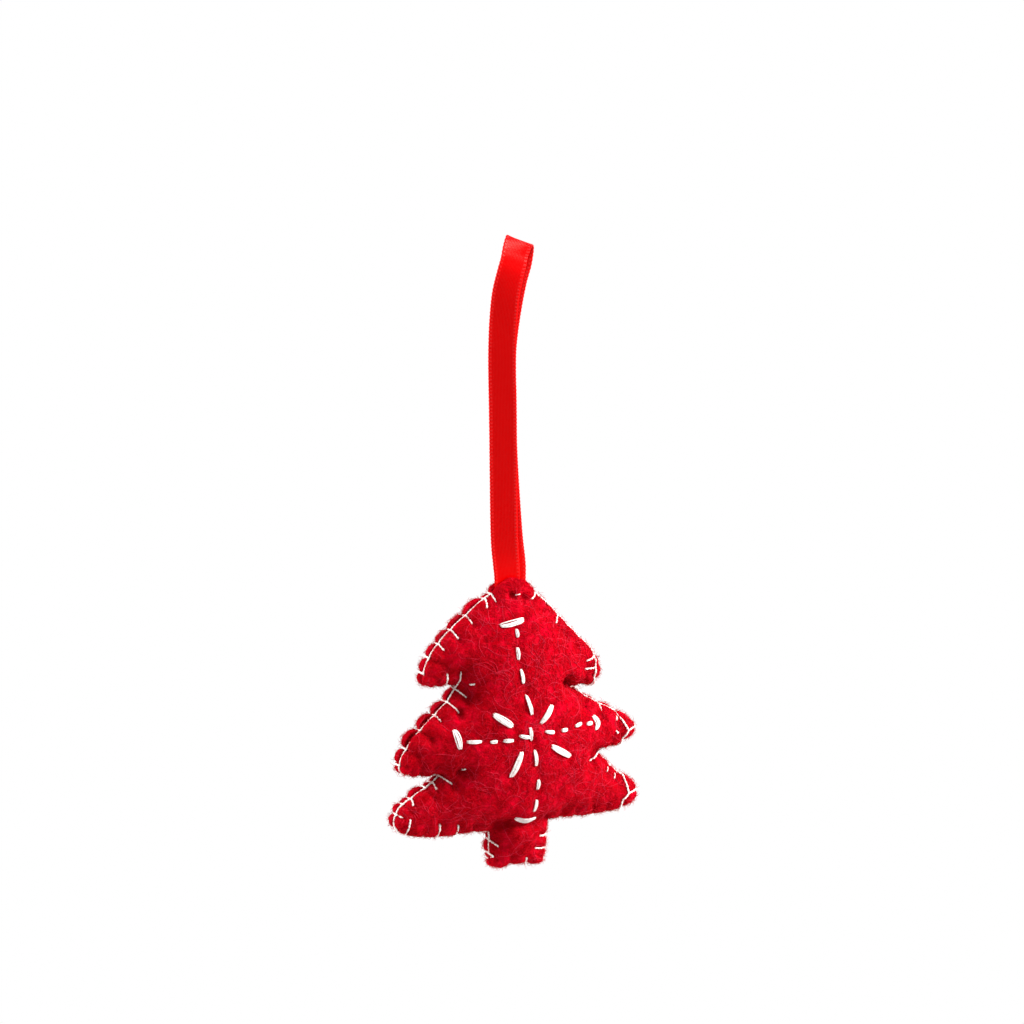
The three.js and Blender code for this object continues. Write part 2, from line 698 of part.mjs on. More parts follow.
// The loop's fold and its two legs, parted by the clearance where the loop twists
function addRibbonLoop() {
  const fold = ribbonStations(FRONT_SPLIT, BACK_SPLIT);
  const frontLeg = ribbonStations(0, FRONT_SPLIT);
  const backLeg = ribbonStations(BACK_SPLIT, RIBBON_ROUTE.length - 1);
  frontLeg[frontLeg.length - 1].at.z -= CLEARANCE;
  backLeg[0].at.z -= CLEARANCE;
  const parts = { ribbon_fold: fold, ribbon_front_leg: frontLeg, ribbon_back_leg: backLeg };
  for (const [name, stations] of Object.entries(parts)) {
    for (const end of [stations[0], stations[stations.length - 1]]) {
      end.across.setZ(0).normalize();
      end.up.setZ(0).normalize();
    }
    piece(ornament, name, sweep(stations, ribbonSection()), RIBBON_COLOUR, 0.35);
  }
}

// The ribbon's two sewn ends, held by the tack stitch
function addRibbonTails() {
  ['ribbon_front_tail', 'ribbon_back_tail'].forEach((name, i) => {
    piece(tree, name, cut(ribbonTail(ribbonEnds[i], 0), tackHoles), RIBBON_COLOUR, 0.35);
  });
}

addPanels();
addStuffing();
addEdgeThread();
addEmbroidery();
addTackStitch();
addRibbonLoop();
addRibbonTails();

export default ornament;
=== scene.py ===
"""The looks of a stuffed felt tree ornament that hangs on a satin ribbon loop.

Lengths are in millimetres until a mesh is made. The tree's own places count x to its right and z up from the
middle of its top edge, with y away from the embroidered face.
"""
from __future__ import annotations

import json
import logging
import math
from dataclasses import dataclass, field, replace
from enum import Enum, Flag
from typing import Iterable, Sequence

import bmesh
import bpy
import numpy as np
from bpy.types import Material, Mesh, Node, NodeSocket, NodeTree, Object
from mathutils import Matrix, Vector, noise
from mathutils.bvhtree import BVHTree
from mathutils.geometry import delaunay_2d_cdt
from mathutils.kdtree import KDTree

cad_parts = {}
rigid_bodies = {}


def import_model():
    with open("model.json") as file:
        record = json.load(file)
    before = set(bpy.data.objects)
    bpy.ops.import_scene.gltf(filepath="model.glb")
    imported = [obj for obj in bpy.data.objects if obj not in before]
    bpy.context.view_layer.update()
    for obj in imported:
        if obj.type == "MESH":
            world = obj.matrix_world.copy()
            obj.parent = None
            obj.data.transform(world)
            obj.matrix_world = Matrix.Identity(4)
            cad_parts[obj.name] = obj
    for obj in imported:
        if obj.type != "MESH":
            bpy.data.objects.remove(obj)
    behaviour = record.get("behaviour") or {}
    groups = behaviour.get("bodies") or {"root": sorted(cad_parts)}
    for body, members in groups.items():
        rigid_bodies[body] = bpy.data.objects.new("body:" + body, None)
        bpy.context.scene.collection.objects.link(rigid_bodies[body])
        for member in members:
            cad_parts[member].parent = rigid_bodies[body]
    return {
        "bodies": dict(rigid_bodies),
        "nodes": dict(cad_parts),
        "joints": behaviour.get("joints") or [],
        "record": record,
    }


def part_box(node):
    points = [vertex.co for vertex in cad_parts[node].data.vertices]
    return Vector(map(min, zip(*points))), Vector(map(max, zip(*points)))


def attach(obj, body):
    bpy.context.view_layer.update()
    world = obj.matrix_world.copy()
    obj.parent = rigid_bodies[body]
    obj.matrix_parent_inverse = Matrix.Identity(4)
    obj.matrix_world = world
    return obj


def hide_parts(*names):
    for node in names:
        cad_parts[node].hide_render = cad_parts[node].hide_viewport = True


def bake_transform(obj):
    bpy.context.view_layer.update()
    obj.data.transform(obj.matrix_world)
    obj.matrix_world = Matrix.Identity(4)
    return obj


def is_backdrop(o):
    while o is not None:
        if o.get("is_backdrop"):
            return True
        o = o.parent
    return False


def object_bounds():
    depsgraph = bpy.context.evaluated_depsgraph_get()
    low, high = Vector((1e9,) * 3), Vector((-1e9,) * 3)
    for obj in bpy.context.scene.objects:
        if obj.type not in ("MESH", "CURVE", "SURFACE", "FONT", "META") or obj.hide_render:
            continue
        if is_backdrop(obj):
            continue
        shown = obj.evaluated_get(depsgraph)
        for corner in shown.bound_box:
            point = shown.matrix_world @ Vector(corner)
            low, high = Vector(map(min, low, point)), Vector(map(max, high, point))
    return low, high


LOG = logging.getLogger("felt_tree")
MM = 0.001
TINY = 1e-9
Array = np.ndarray
Place = tuple[float, float]
Point = tuple[float, float, float]
Station = tuple[float, float, float, float, float]


# Helpers


def linear(colour: str) -> tuple[float, float, float, float]:
    """Turn an sRGB hex colour to linear RGBA.

    Args:
        colour: six hex digits.

    Returns:
        Linear red, green and blue, with an alpha of 1.
    """
    parts = [int(colour[i : i + 2], 16) / 255 for i in (0, 2, 4)]
    light = [c / 12.92 if c <= 0.04045 else ((c + 0.055) / 1.055) ** 2.4 for c in parts]
    return (*light, 1.0)


def feed(node: Node, inputs: dict) -> None:
    """Set a node's inputs.

    Args:
        node: the node.
        inputs: their names or numbers, each with a value, a socket to link from, or a node whose first
            output is linked.
    """
    for name, value in inputs.items():
        source = value.outputs[0] if isinstance(value, Node) else value
        if isinstance(source, NodeSocket):
            node.id_data.links.new(source, node.inputs[name])
        else:
            node.inputs[name].default_value = source


def add_node(
    tree: NodeTree, kind: str, inputs: dict | None = None, stops: Sequence[tuple[float, str]] = (), **settings
) -> Node:
    """Add a shader node with its settings and links.

    Args:
        tree: the material's node tree.
        kind: the node's type name without its ShaderNode prefix.
        inputs: what feed sets on it.
        stops: a colour ramp's positions, with sRGB hex colours.
        **settings: the node's own attributes.

    Returns:
        The new node.
    """
    node = tree.nodes.new("ShaderNode" + kind)
    for name, value in settings.items():
        setattr(node, name, value)
    feed(node, inputs or {})
    while stops and len(node.color_ramp.elements) < len(stops):
        node.color_ramp.elements.new(0.5)
    for number, (position, colour) in enumerate(stops):
        element = node.color_ramp.elements[number]
        element.position, element.color = position, linear(colour)
    return node


def new_material(name: str) -> tuple[Material, NodeTree, Node]:
    """Start a material.

    Args:
        name: the real material's name.

    Returns:
        The material, its node tree and its Principled shader.
    """
    material = bpy.data.materials.new(name)
    material.use_nodes = True
    return material, material.node_tree, material.node_tree.nodes["Principled BSDF"]


def millimetre_coordinates(tree: NodeTree) -> Node:
    """Object coordinates in millimetres."""
    place = add_node(tree, "TexCoord").outputs["Object"]
    return add_node(tree, "VectorMath", {0: place, "Scale": 1 / MM}, operation="SCALE")


def new_object(name: str, mesh: Mesh, material: Material) -> Object:
    """Put a mesh into the scene with one material and smooth faces.

    Args:
        name: the piece's name.
        mesh: its mesh.
        material: its finish.

    Returns:
        The piece.
    """
    mesh.materials.clear()
    mesh.materials.append(material)
    mesh.shade_smooth()
    piece = bpy.data.objects.new(name, mesh)
    bpy.context.scene.collection.objects.link(piece)
    return piece


def mesh_from(points: Array, faces: Sequence[Sequence[int]]) -> Mesh:
    """Make a mesh, in metres, from points in millimetres.

    Args:
        points: the points.
        faces: the numbers of each face's points.

    Returns:
        The mesh.
    """
    mesh = bpy.data.meshes.new("shape")
    mesh.from_pydata((np.asarray(points) * MM).tolist(), [], [list(map(int, face)) for face in faces])
    return mesh


def mesh_points(mesh: Mesh) -> Array:
    """Read a mesh's points in millimetres.

    Args:
        mesh: the mesh.

    Returns:
        One row for each point.
    """
    flat = np.empty(3 * len(mesh.vertices))
    mesh.vertices.foreach_get("co", flat)
    return flat.reshape(-1, 3) / MM


def face_outwards(mesh: Mesh, cuts: int = 0) -> None:
    """Turn a closed mesh's faces outwards.

    Args:
        mesh: the mesh.
        cuts: how many of its last faces are cut ends, whose edges stay sharp.
    """
    shell = bmesh.new()
    shell.from_mesh(mesh)
    bmesh.ops.recalc_face_normals(shell, faces=shell.faces)
    for cut in list(shell.faces)[len(shell.faces) - cuts :]:
        for edge in cut.edges:
            edge.smooth = False
    shell.to_mesh(mesh)
    shell.free()


def strands_mesh(
    lines: Iterable[Array], radius: float, sides: int, tapers: Sequence[float] = (1.0,)
) -> Mesh:
    """Sweep round strands along lines.

    Args:
        lines: the strands' middle lines in millimetres.
        radius: the strands' radius in millimetres.
        sides: 4, 6, 8 and so on.
        tapers: the radius's share along every strand, evenly spaced.

    Returns:
        One mesh of closed tubes.
    """
    curve = bpy.data.curves.new("strands", "CURVE")
    curve.dimensions = "3D"
    curve.bevel_depth = radius * MM
    curve.bevel_resolution = sides // 2 - 2
    curve.use_fill_caps = True
    for line in lines:
        count = len(line)
        spline = curve.splines.new("POLY")
        spline.points.add(count - 1)
        flat = np.ones((count, 4))
        flat[:, :3] = line * MM
        spline.points.foreach_set("co", flat.ravel())
        shares = np.interp(np.linspace(0, 1, count), np.linspace(0, 1, len(tapers)), tapers)
        spline.points.foreach_set("radius", shares)
    holder = bpy.data.objects.new("strands", curve)
    mesh = bpy.data.meshes.new_from_object(holder)
    bpy.data.objects.remove(holder)
    bpy.data.curves.remove(curve)
    return mesh


def falloff(away: Array, reach: float) -> Array:
    """A share that is 1 at no distance and fades over a reach."""
    return np.exp(-((away / reach) ** 2))


def unit(directions: Array) -> Array:
    """Directions brought to a length of 1."""
    return directions / (np.linalg.norm(directions, axis=-1, keepdims=True) + TINY)


def arc_lengths(line: Array) -> Array:
    """The distance along a line to each of its points."""
    return np.concatenate([[0.0], np.cumsum(np.linalg.norm(np.diff(line, axis=0), axis=1))])


def smooth_line(points: Sequence[Sequence[float]], spacing: float, fine: int = 16) -> Array:
    """Run a smooth line through points.

    Args:
        points: the points in order.
        spacing: the wanted distance between the line's points.
        fine: how many steps it is first drawn in from one point to the next.

    Returns:
        Evenly spaced points on the line.
    """
    knots = np.asarray(points, float)
    padded = np.vstack([2 * knots[0] - knots[1], knots, 2 * knots[-1] - knots[-2]])
    share = np.linspace(0, 1, fine, endpoint=False)[:, None]
    pieces = []
    for a, b, c, d in zip(padded, padded[1:], padded[2:], padded[3:]):
        curve = 2 * b + (c - a) * share + (2 * a - 5 * b + 4 * c - d) * share**2
        pieces.append((curve + (3 * b - a - 3 * c + d) * share**3) / 2)
    line = np.vstack([*pieces, knots[-1:]])
    arc = arc_lengths(line)
    places = np.linspace(0, arc[-1], max(2, round(arc[-1] / spacing) + 1))
    return np.stack([np.interp(places, arc, axis) for axis in line.T], axis=1)


def twisted(line: Array, plies: int, offset: float, pitch: float) -> list[Array]:
    """Lay plies round a middle line.

    Args:
        line: the thread's middle line.
        plies: how many plies it has.
        offset: each ply's distance from the middle line.
        pitch: the length of one full turn.

    Returns:
        One line for each ply.
    """
    along = unit(np.gradient(line, axis=0))
    # A direction that hardly any thread runs along
    guide = np.array([0.31, 0.17, 0.93])
    first = unit(np.cross(along, guide))
    second = np.cross(along, first)
    turn = 2 * math.pi * arc_lengths(line) / pitch
    lines = []
    for ply in range(plies):
        angle = (turn + 2 * math.pi * ply / plies)[:, None]
        lines.append(line + offset * (np.cos(angle) * first + np.sin(angle) * second))
    return lines


# Finishes


@dataclass(frozen=True)
class WoolFelt:
    """Pressed wool felt: no shine, a mottled nap, and loose fibres that cross it in lighter lines.

    The fibres are drawn several times as wide as real wool, which is too fine to show.
    """

    hollow: str = "940008"
    body: str = "B10010"
    nap: str = "CA0120"
    fibre: str = "D21A32"
    glow: str = "FF2038"
    mottle_mm: float = 3.2
    nap_mm: float = 5 / 12
    relief_mm: float = 0.35
    fibre_length_mm: float = 3.0
    fibre_width_mm: float = 0.34
    fibre_layer_mm: float = 5 / 3
    fibre_share: float = 0.035
    fibre_strength: float = 0.42
    fibre_angles: tuple[float, ...] = (12, 70, 128)
    curl_mm: float = 1.5
    wander_mm: float = 1.875

    def build(self) -> Material:
        """Make the material.

        Returns:
            The material.
        """
        material, tree, shader = new_material("wool_felt")
        place = millimetre_coordinates(tree)
        mottle = add_node(tree, "TexNoise", {"Vector": place, "Scale": 1 / self.mottle_mm, "Detail": 5.0})
        stops = [(0.33, self.hollow), (0.5, self.body), (0.68, self.nap)]
        tint = add_node(tree, "ValToRGB", {"Fac": mottle}, stops)
        fibres = self.fibres(tree, place)
        strength = add_node(tree, "Math", {0: fibres, 1: self.fibre_strength}, operation="MULTIPLY")
        colour = add_node(tree, "MixRGB", {"Fac": strength, "Color1": tint, "Color2": linear(self.fibre)})
        grain = {"Vector": place, "Scale": 1 / self.nap_mm, "Detail": 4.0, "Roughness": 0.65}
        nap = add_node(tree, "TexNoise", grain)
        height = add_node(tree, "Math", {0: fibres, 1: 0.5, 2: nap}, operation="MULTIPLY_ADD")
        bump = add_node(tree, "Bump", {"Height": height, "Strength": 0.6, "Distance": self.relief_mm * MM})
        surface = {"Base Color": colour, "Normal": bump, "Roughness": 0.95, "Specular IOR Level": 0.006}
        sheen = {"Sheen Weight": 0.04, "Sheen Roughness": 0.55, "Sheen Tint": linear(self.glow)}
        feed(shader, surface | sheen)
        return material

    def fibres(self, tree: NodeTree, place: Node) -> Node:
        """Draw curled fibres that lie at several angles.

        Args:
            tree: the material's node tree.
            place: coordinates in millimetres.

        Returns:
            A mask that is 1 on the fibres.
        """
        wander = add_node(tree, "TexNoise", {"Vector": place, "Scale": 1 / self.wander_mm, "Detail": 1.0})
        middle = {0: wander.outputs["Color"], 1: (0.5, 0.5, 0.5)}
        shift = add_node(tree, "VectorMath", middle, operation="SUBTRACT")
        reach = (2 * self.curl_mm,) * 3
        curled = add_node(tree, "VectorMath", {0: shift, 1: reach, 2: place}, operation="MULTIPLY_ADD")
        scale = (1 / self.fibre_length_mm, 1 / self.fibre_layer_mm, 1 / (3 * self.fibre_width_mm))
        mask: Node | float = 0.0
        for angle in self.fibre_angles:
            turn = (0, math.radians(angle), 0)
            lie = add_node(tree, "Mapping", {"Vector": curled, "Rotation": turn, "Scale": scale})
            wave = add_node(tree, "TexNoise", {"Vector": lie, "Scale": 1.0, "Detail": 1.0})
            away = add_node(tree, "Math", {0: wave, 1: 0.5}, operation="SUBTRACT")
            size = add_node(tree, "Math", {0: away}, operation="ABSOLUTE")
            line = add_node(tree, "MapRange", {0: size, 1: 0.0, 2: self.fibre_share, 3: 1.0, 4: 0.0})
            mask = add_node(tree, "Math", {0: mask, 1: line}, operation="MAXIMUM")
        return mask


class Dye(Enum):
    """The two tints of the loose wool."""

    PALE = "D22A42"
    DEEP = "BC0617"


@dataclass(frozen=True)
class LooseWool:
    """Single wool fibres that stand off the felt: plain and nearly matt, in one dyed tint."""

    dye: Dye

    def build(self) -> Material:
        """Make the material.

        Returns:
            The material.
        """
        material, _, shader = new_material(f"{self.dye.name.lower()}_loose_wool")
        feed(shader, {"Base Color": linear(self.dye.value), "Roughness": 0.7, "Specular IOR Level": 0.02})
        return material


@dataclass(frozen=True)
class SatinRibbon:
    """Polyester satin: a red shine from slanting floats, and a selvedge with a row of paler picot dots."""

    body: str = "CC0002"
    selvedge: str = "D40405"
    dot: str = "DA1C1E"
    shine: str = "FF9088"
    weave_mm: float = 0.5
    slants: tuple[float, float] = (1.0, -0.6)
    dot_pitch_mm: float = 0.8
    dot_line_mm: float = 2.5
    dot_core_mm: float = 0.14
    dot_rim_mm: float = 0.32
    selvedge_mm: float = 2.1
    selvedge_fade_mm: float = 0.15
    relief_mm: float = 0.1

    def build(self) -> Material:
        """Make the material.

        Returns:
            The material.
        """
        material, tree, shader = new_material("satin_ribbon")
        axes = add_node(tree, "SeparateXYZ", {0: add_node(tree, "UVMap", uv_map="weave")})
        across, along, _ = axes.outputs
        out = add_node(tree, "Math", {0: across}, operation="ABSOLUTE")
        inner = self.selvedge_mm
        edge = add_node(tree, "MapRange", {0: out, 1: inner, 2: inner + self.selvedge_fade_mm})
        colours = {"Color1": linear(self.body), "Color2": linear(self.selvedge)}
        band = add_node(tree, "MixRGB", {"Fac": edge, **colours})
        dots = self.dots(tree, out, along)
        colour = add_node(tree, "MixRGB", {"Fac": dots, "Color1": band, "Color2": linear(self.dot)})
        ridge = self.floats(tree, across, along)
        floats = add_node(tree, "Math", {0: ridge, 1: 0.12}, operation="MULTIPLY")
        glint = add_node(tree, "MapRange", {0: ridge, 1: -0.4, 2: 0.7, 3: 0.0, 4: 0.7})
        shine = add_node(tree, "Math", {0: dots, 1: 0.3, 2: glint}, operation="MULTIPLY_ADD")
        height = add_node(tree, "Math", {0: dots, 1: 0.5, 2: floats}, operation="MULTIPLY_ADD")
        bump = add_node(tree, "Bump", {"Height": height, "Strength": 0.35, "Distance": self.relief_mm * MM})
        grain = add_node(tree, "Tangent", direction_type="UV_MAP", uv_map="weave")
        surface = {"Base Color": colour, "Normal": bump, "Roughness": 0.42, "Specular IOR Level": shine}
        sheen = {"Specular Tint": linear(self.shine), "Anisotropic": 0.95, "Tangent": grain}
        feed(shader, surface | sheen)
        return material

    def floats(self, tree: NodeTree, across: NodeSocket, along: NodeSocket) -> Node:
        """Draw the weave's floats as short dashes in slanting rows, about twice their real size.

        Args:
            tree: the material's node tree.
            across: the place across the ribbon.
            along: the distance along the ribbon.

        Returns:
            A wave from -1 between the floats to 1 on them.
        """
        waves = []
        for share in self.slants:
            slant = add_node(tree, "Math", {0: across, 1: share, 2: along}, operation="MULTIPLY_ADD")
            turn = add_node(tree, "Math", {0: slant, 1: 2 * math.pi / self.weave_mm}, operation="MULTIPLY")
            waves.append(add_node(tree, "Math", {0: turn}, operation="SINE"))
        return add_node(tree, "Math", dict(enumerate(waves)), operation="MULTIPLY")

    def dots(self, tree: NodeTree, out: Node, along: NodeSocket) -> Node:
        """Draw the row of picot dots along each edge.

        Args:
            tree: the material's node tree.
            out: the distance from the ribbon's middle.
            along: the distance along the ribbon.

        Returns:
            A mask that is 1 on the dots.
        """
        off = add_node(tree, "Math", {0: out, 1: self.dot_line_mm}, operation="SUBTRACT")
        near = add_node(tree, "Math", {0: off}, operation="ABSOLUTE")
        row = add_node(tree, "MapRange", {0: near, 1: self.dot_core_mm, 2: self.dot_rim_mm, 3: 1.0, 4: 0.0})
        beat = add_node(tree, "Math", {0: along, 1: 2 * math.pi / self.dot_pitch_mm}, operation="MULTIPLY")
        wave = add_node(tree, "Math", {0: beat}, operation="SINE")
        pulse = add_node(tree, "MapRange", {0: wave, 1: -0.3, 2: 0.7, 3: 0.0, 4: 1.0})
        return add_node(tree, "Math", {0: row, 1: pulse}, operation="MULTIPLY")


@dataclass(frozen=True)
class CottonFloss:
    """Spun cotton thread: ivory, with darker twist lines, and a soft sheen tinted pink as a painted
    reflection of the felt's red.
    """

    name: str
    light: str
    shade: str
    # Painted light: this pink sheen tint stands in for red light bounced off the felt onto the thread.
    glow: str = "FF8C84"
    twist_mm: float = 0.5
    relief_mm: float = 0.1

    def build(self) -> Material:
        """Make the material.

        Returns:
            The material.
        """
        material, tree, shader = new_material(self.name)
        place = millimetre_coordinates(tree)
        grain = add_node(tree, "TexNoise", {"Vector": place, "Scale": 1 / self.twist_mm, "Detail": 3.0})
        tint = add_node(tree, "ValToRGB", {"Fac": grain}, [(0.35, self.shade), (0.55, self.light)])
        bump = add_node(tree, "Bump", {"Height": grain, "Strength": 0.3, "Distance": self.relief_mm * MM})
        sheen = {"Sheen Weight": 0.5, "Sheen Roughness": 0.4, "Sheen Tint": linear(self.glow)}
        feed(shader, {"Base Color": tint, "Normal": bump, "Roughness": 0.55} | sheen)
        return material


@dataclass(frozen=True)
class Fibrefill:
    """Polyester wadding: white, matt and cloudy."""

    colour: str = "F5F3EE"
    cloud_mm: float = 10 / 9
    relief_mm: float = 0.5

    def build(self) -> Material:
        """Make the material.

        Returns:
            The material.
        """
        material, tree, shader = new_material("polyester_fibrefill")
        place = millimetre_coordinates(tree)
        cloud = add_node(tree, "TexNoise", {"Vector": place, "Scale": 1 / self.cloud_mm, "Detail": 6.0})
        bump = add_node(tree, "Bump", {"Height": cloud, "Strength": 0.8, "Distance": self.relief_mm * MM})
        feed(shader, {"Base Color": linear(self.colour), "Normal": bump, "Roughness": 0.95})
        return material


# The tree's outline and its edge stitches


class Lay(Flag):
    """How the edge thread lies at a stitch.

    SEAM is just off the cut edge, FACE on the front felt and SUNK down between the panels. With PROUD, the
    leg round the back felt stands proud.
    """

    SEAM = 0
    FACE = 1
    PROUD = 2
    SUNK = 4


USUAL_SLACK = 0.6


@dataclass(frozen=True)
class EdgeStitch:
    """One edge stitch, by the x, z where it catches the seam.

    hole is where its needle went through the front felt, or None where the nap has closed over the leg.
    crossing is where the leg turns over the edge, if that isn't the nearest place. slack is how far the
    felt stands out between this stitch and the next.
    """

    x: float
    z: float
    hole: Place | None = None
    lay: Lay = Lay.SEAM
    crossing: Place | None = None
    slack: float = USUAL_SLACK


def stretch(slack: float, *stitches: EdgeStitch) -> list[EdgeStitch]:
    """Give the edge stitches of one stretch the same slack."""
    return [replace(stitch, slack=slack) for stitch in stitches]


# From the mouth's right corner round to its left
EDGE_STITCHES: tuple[EdgeStitch, ...] = (
    *stretch(
        0.3,
        EdgeStitch(5.1, -2.0, (3.7, -3.0), Lay.FACE),
        EdgeStitch(8.1, -4.7, None, Lay.FACE),
        EdgeStitch(10.6, -7.9, (9.5, -8.9)),
        EdgeStitch(12.9, -10.6),
        EdgeStitch(15.5, -13.5),
        EdgeStitch(19.2, -17.6, (17.0, -18.2), Lay.FACE),
    ),
    *stretch(
        USUAL_SLACK,
        EdgeStitch(19.2, -20.0, (16.7, -20.0), Lay.FACE),
        EdgeStitch(19.0, -22.1, None, Lay.FACE),
        EdgeStitch(16.8, -22.8),
        EdgeStitch(15.2, -24.2, (13.4, -23.6), Lay.FACE),
        EdgeStitch(17.2, -26.3),
        EdgeStitch(21.0, -28.9),
        EdgeStitch(25.2, -31.6, None, Lay.FACE),
        EdgeStitch(27.2, -35.0, None, Lay.FACE | Lay.PROUD, (29.0, -34.7)),
        EdgeStitch(26.0, -36.8, None, Lay.FACE),
        EdgeStitch(23.2, -37.8),
        EdgeStitch(20.6, -38.9, (17.7, -40.7)),
        EdgeStitch(23.1, -42.6),
        EdgeStitch(24.9, -44.4),
        EdgeStitch(26.4, -45.2, None, Lay.FACE),
        EdgeStitch(27.2, -49.1, None, Lay.FACE | Lay.PROUD, (29.2, -49.0)),
    ),
    *stretch(
        0.35,
        EdgeStitch(25.9, -50.5, None, Lay.FACE),
        EdgeStitch(22.3, -51.4),
        EdgeStitch(18.6, -51.6),
        EdgeStitch(14.6, -51.8),
        EdgeStitch(11.0, -51.8),
    ),
    *stretch(
        0.9,
        EdgeStitch(7.9, -52.4),
        EdgeStitch(7.5, -56.1, (5.7, -56.1)),
        EdgeStitch(6.7, -59.0, (4.6, -58.7)),
        EdgeStitch(6.2, -61.0),
        EdgeStitch(3.0, -61.3, (2.5, -60.7)),
        EdgeStitch(-0.9, -61.2),
        EdgeStitch(-4.4, -61.0, None, Lay.SUNK),
        EdgeStitch(-5.5, -59.3, (-5.0, -59.9)),
        EdgeStitch(-5.3, -56.5, (-4.3, -57.3)),
    ),
    *stretch(
        0.4,
        EdgeStitch(-5.4, -53.8),
        EdgeStitch(-9.6, -53.8),
        EdgeStitch(-13.8, -53.1, (-14.0, -51.4)),
        EdgeStitch(-18.2, -53.3, (-18.4, -50.7)),
        EdgeStitch(-22.0, -53.0),
        EdgeStitch(-25.4, -51.5, (-25.3, -48.9)),
    ),
    *stretch(
        0.9,
        EdgeStitch(-27.2, -50.8),
        EdgeStitch(-27.4, -48.0, (-26.9, -48.3)),
        EdgeStitch(-26.2, -45.9),
        EdgeStitch(-24.3, -44.9, (-24.4, -45.9)),
        EdgeStitch(-20.6, -42.9, None, Lay.PROUD),
        EdgeStitch(-19.0, -42.0, (-18.9, -42.9)),
        EdgeStitch(-16.5, -40.5, (-15.6, -41.9)),
    ),
    *stretch(
        1.3,
        EdgeStitch(-18.8, -39.2),
        EdgeStitch(-22.3, -39.2),
        EdgeStitch(-25.0, -38.9),
        EdgeStitch(-25.5, -37.1, None, Lay.PROUD),
        EdgeStitch(-24.6, -33.9, None, Lay.PROUD),
        EdgeStitch(-21.8, -29.9),
        EdgeStitch(-18.3, -27.0, (-18.0, -27.8)),
        EdgeStitch(-15.3, -24.4, (-13.9, -26.2)),
        EdgeStitch(-12.8, -22.0, (-11.8, -23.2)),
    ),
    *stretch(
        0.75,
        EdgeStitch(-13.4, -20.4, (-13.3, -17.4)),
        EdgeStitch(-16.2, -19.8, (-16.5, -17.4), Lay.SUNK),
        EdgeStitch(-18.7, -20.0, None, Lay.SUNK),
        EdgeStitch(-20.4, -17.8, None, Lay.PROUD),
        EdgeStitch(-19.7, -13.9, None, Lay.PROUD),
        EdgeStitch(-17.5, -11.1, (-17.1, -12.2)),
        EdgeStitch(-14.6, -8.3, (-13.9, -9.9)),
        EdgeStitch(-11.3, -5.4, (-10.6, -6.9)),
        EdgeStitch(-6.9, -2.0, (-7.0, -3.8)),
        EdgeStitch(-5.2, -1.4, (-4.8, -2.7)),
    ),
)


